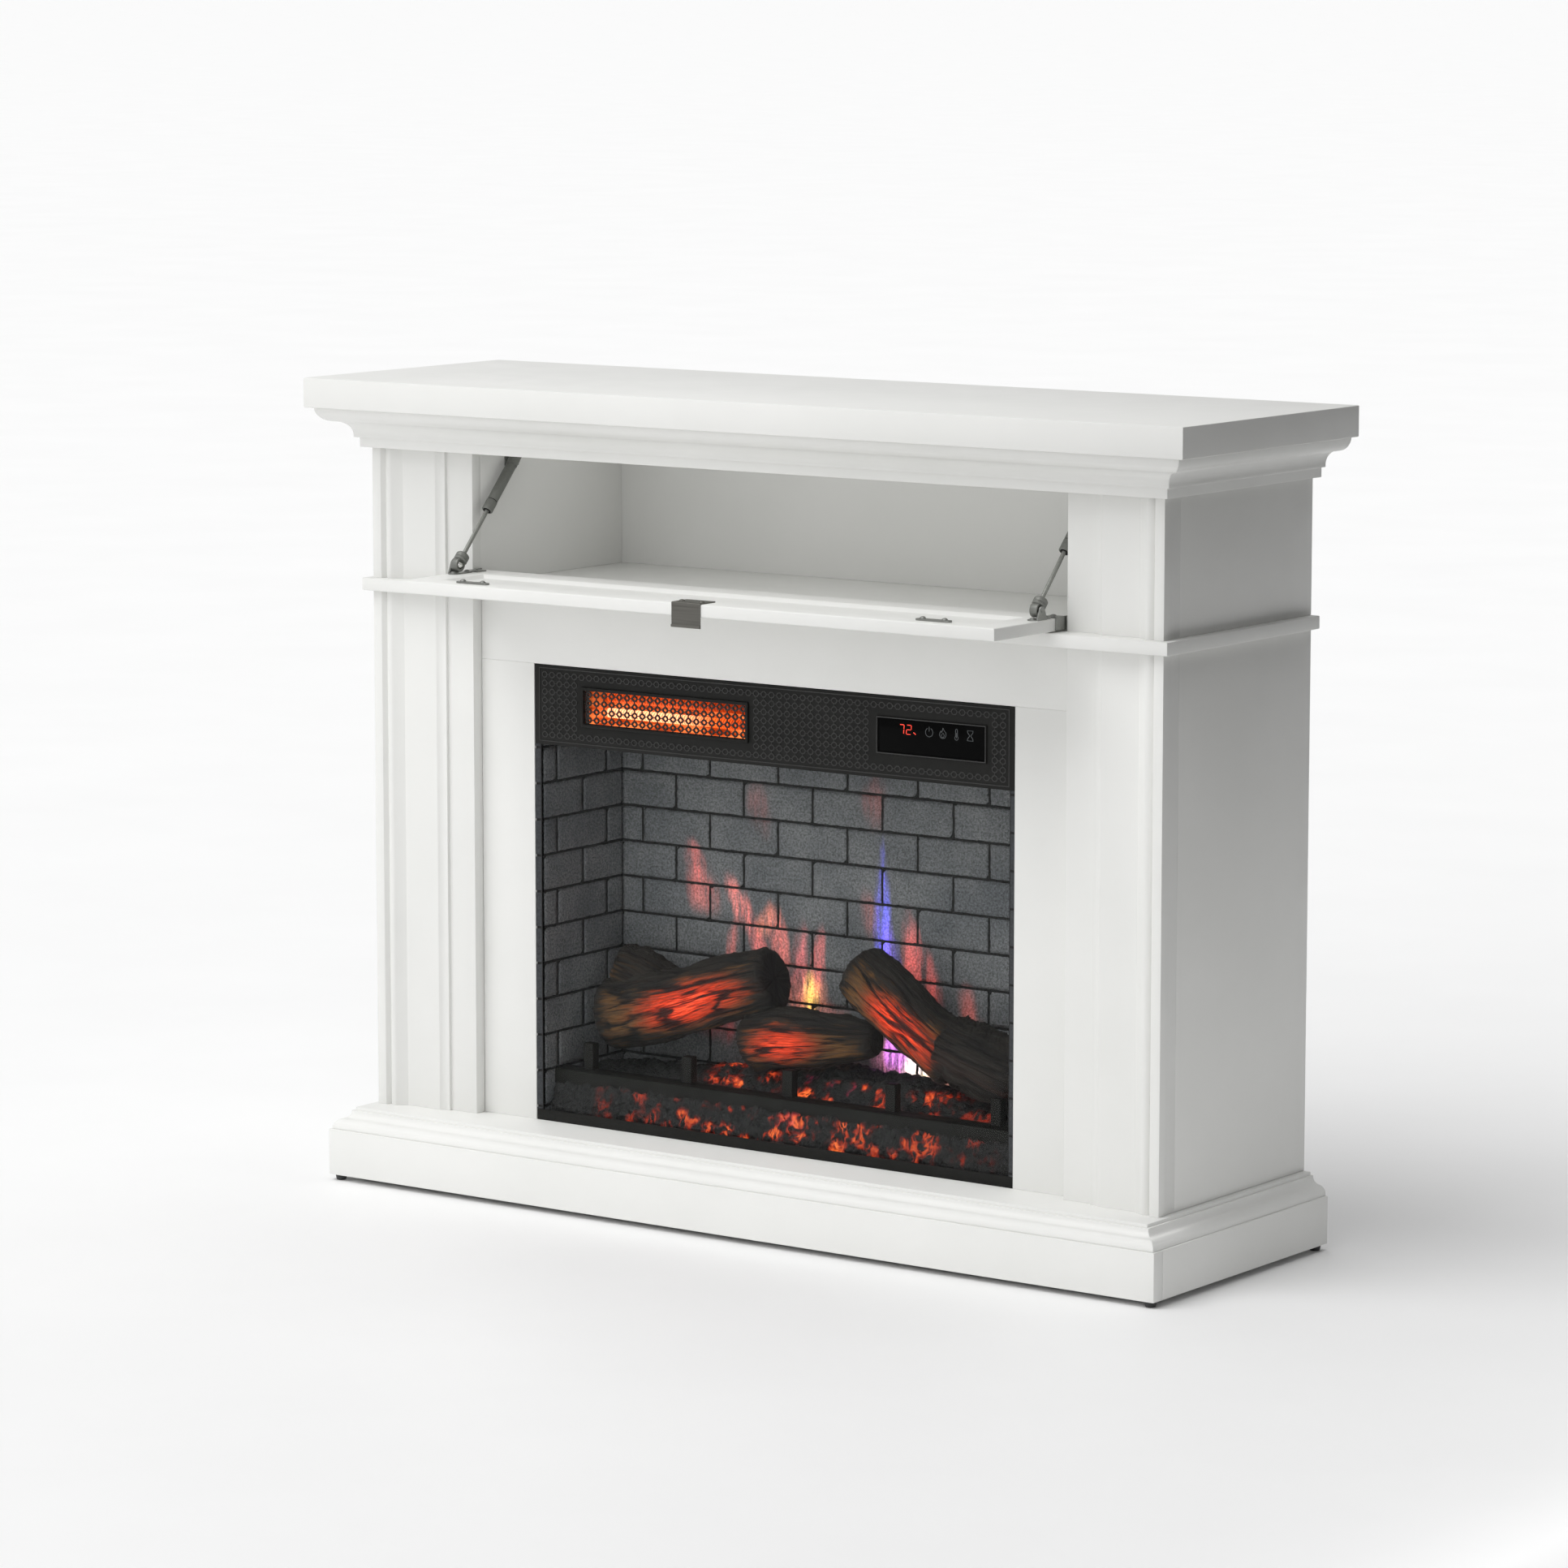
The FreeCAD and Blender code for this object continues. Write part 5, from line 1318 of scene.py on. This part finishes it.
def make_hinges():
    near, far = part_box("hinge_door_leaves")
    wall_near, wall_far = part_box("hinge_wall_leaves")

    leaf, flap = 1.2 * MM, 15.5 * MM

    def door_leaves(data):
        flap_in, flap_out = high("door_frame").x, high("door_frame").x + leaf
        for side in SIDES:
            x0, x1 = sorted((side * flap_in, side * flap_out))
            add_box(data, (x0, near.y, near.z), (x1, far.y - 1 * MM, DOOR_TOP + leaf))
            x0, x1 = sorted((side * (flap_in - flap), side * (flap_in + 0.2 * MM)))
            add_box(data, (x0, near.y, DOOR_TOP), (x1, far.y - 10 * MM, DOOR_TOP + leaf))
            add_dome(data, (side * (flap_in - 7 * MM), near.y + 7.5 * MM, DOOR_TOP + 1.1 * MM), (0, 0, 1),
                     3.4 * MM, 1.9 * MM)
            add_dome(data, (side * (flap_out - 0.1 * MM), near.y + 8.0 * MM, DOOR_TOP - 7.2 * MM),
                     (side, 0, 0), 2.6 * MM, 0.5 * MM)

    from_builder("hinge_leaves_door", door_leaves, ZINC, "door", "zinc", ("hinge_door_leaves",), 0.2 * MM,
                 limit=50.0)

    def wall_leaves(data):
        for side in SIDES:
            x0, x1 = sorted((side * (wall_far.x - leaf), side * wall_far.x))
            add_box(data, (x0, wall_near.y, wall_near.z), (x1, wall_far.y, wall_far.z))
            add_dome(data, (side * (wall_far.x - 1.1 * MM), wall_far.y - 3.5 * MM, wall_far.z - 4 * MM),
                     (-side, 0, 0), 2.2 * MM, 0.45 * MM)

    from_builder("hinge_leaves_wall", wall_leaves, ZINC, CABINET, "zinc", ("hinge_wall_leaves",), 0.2 * MM,
                 limit=50.0)
    rounded_copy("strut_wall_brackets", STRUT, "zinc", 0.4)


# ---------------------------------------------------------------- back and inner works

def make_works():
    for looks in (
            ("insert_base_pan", STEEL, "galvanised_steel", 0.2),
            ("insert_wrap", STEEL, "galvanised_steel", 0.2),
            ("insert_rear_cover", STEEL, "galvanised_steel", 0.0),
            ("firebox_roof", COAT, "black_steel", 0.2),
            ("cord_inlet", BLACK_PLASTIC, "black_plastic", 0.3),
            ("lamp_board", BOARD_GREEN, "circuit_board", 0.2),
            ("control_board", BOARD_GREEN, "circuit_board", 0.2),
            ("power_board", BOARD_GREEN, "circuit_board", 0.3),
            ("flame_rotor", FOIL, "rotor_foil", 0.1, "flame_rotor"),
            ("rotor_motor", STEEL, "motor_case", 0.5),
            ("rotor_bearing", ZINC, "zinc", 0.3),
            ("blower_wheel", BLACK_PLASTIC, "black_plastic", 0.0, "blower_wheel"),
            ("blower_housing", STEEL, "galvanised_steel", 0.2),
            ("blower_motor", STEEL, "motor_case", 0.5)):
        rounded_copy(*looks)


# ---------------------------------------------------------------- camera and light

def make_sheet(name, half):
    data = bmesh.new()
    bmesh.ops.create_grid(data, x_segments=1, y_segments=1, size=half)
    return new_object(name, to_mesh(name, data))


def make_stage():
    half = 300.0
    floor = make_sheet("floor", half)
    shader = Shader("studio_floor", (0.93, 0.93, 0.93), 0.6)
    shader.put("Base Color", shader.ramp(shader.noise(3.0), (0.3, 0.92), (0.7, 0.94)))
    floor.data.materials.append(shader.material)


def make_camera():
    azimuth, dip = math.radians(35.84), math.radians(8.12)
    right, before_back, height = 3.4184, 4.9451, 1.2774
    camera_data = bpy.data.cameras.new("camera")
    camera = new_object("camera", camera_data)
    camera.location = (right, high("mantel_top").y - before_back, height)
    look = Vector((-math.sin(azimuth) * math.cos(dip), math.cos(azimuth) * math.cos(dip),
                   -math.sin(dip)))
    camera.rotation_euler = look.to_track_quat("-Z", "Y").to_euler()
    camera_data.sensor_width = 36.0
    camera_data.lens = 136.45
    camera_data.clip_end = 900.0
    bpy.context.scene.camera = camera


def add_sun(name, energy, spread, toward):
    data = bpy.data.lights.new(name, "SUN")
    data.energy = energy
    data.angle = math.radians(spread)
    sun = new_object(name, data)
    sun.rotation_euler = Vector(toward).to_track_quat("Z", "Y").to_euler()


def make_flag():
    """Black card at the right, seen only by bounced light, so that the right side falls into shade."""
    half, place = 1.6, (1.20, 0.1, 1.80)
    flag = make_sheet("studio_flag", half)
    flag.location = place
    flag.rotation_euler = (0.0, math.pi / 2, 0.0)
    flag.visible_camera = flag.visible_shadow = False
    flag.visible_glossy = flag.visible_transmission = False
    shader = Shader("flag_cloth", (0.01, 0.01, 0.01), 0.9)
    shader.bump(shader.noise(300.0), 0.001)
    flag.data.materials.append(shader.material)


def make_storage_fill():
    """Weak panel light under the storage ceiling, so that the open compartment is evenly lit."""
    near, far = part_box("storage_walls")
    data = bpy.data.lights.new("storage_fill", "AREA")
    data.shape = "RECTANGLE"
    data.size = (far.x - near.x) * 0.9
    data.size_y = (far.y - near.y) * 0.8
    weak = 0.17
    data.energy = weak
    panel = new_object("storage_fill", data)
    panel.location = ((near.x + far.x) / 2, (near.y + far.y) / 2, far.z - 6 * MM)
    panel.visible_camera = panel.visible_glossy = False


def make_lights():
    add_sun("key", 1.40, 42, (-0.30, -0.50, 0.81))
    add_sun("front_fill", 0.86, 70, (0.26, -0.955, 0.14))
    add_sun("top_fill", 0.80, 60, (0.0, 0.1, 1.0))
    make_storage_fill()
    make_flag()
    world = bpy.data.worlds.new("studio")
    world.use_nodes = True
    sky = world.node_tree.nodes["Background"].inputs
    sky["Color"].default_value = (1.0, 1.0, 1.0, 1.0)
    sky["Strength"].default_value = 0.45
    bpy.context.scene.world = world
    view = bpy.context.scene.view_settings
    view.view_transform = "Standard"
    view.look = "None"


make_cabinet()
make_door()
make_lining()
make_logs()
make_embers()
make_glass()
make_fascia()
make_clips()
make_pull()
make_struts(make_door_brackets())
make_hinges()
make_works()
make_stage()
make_camera()
make_lights()
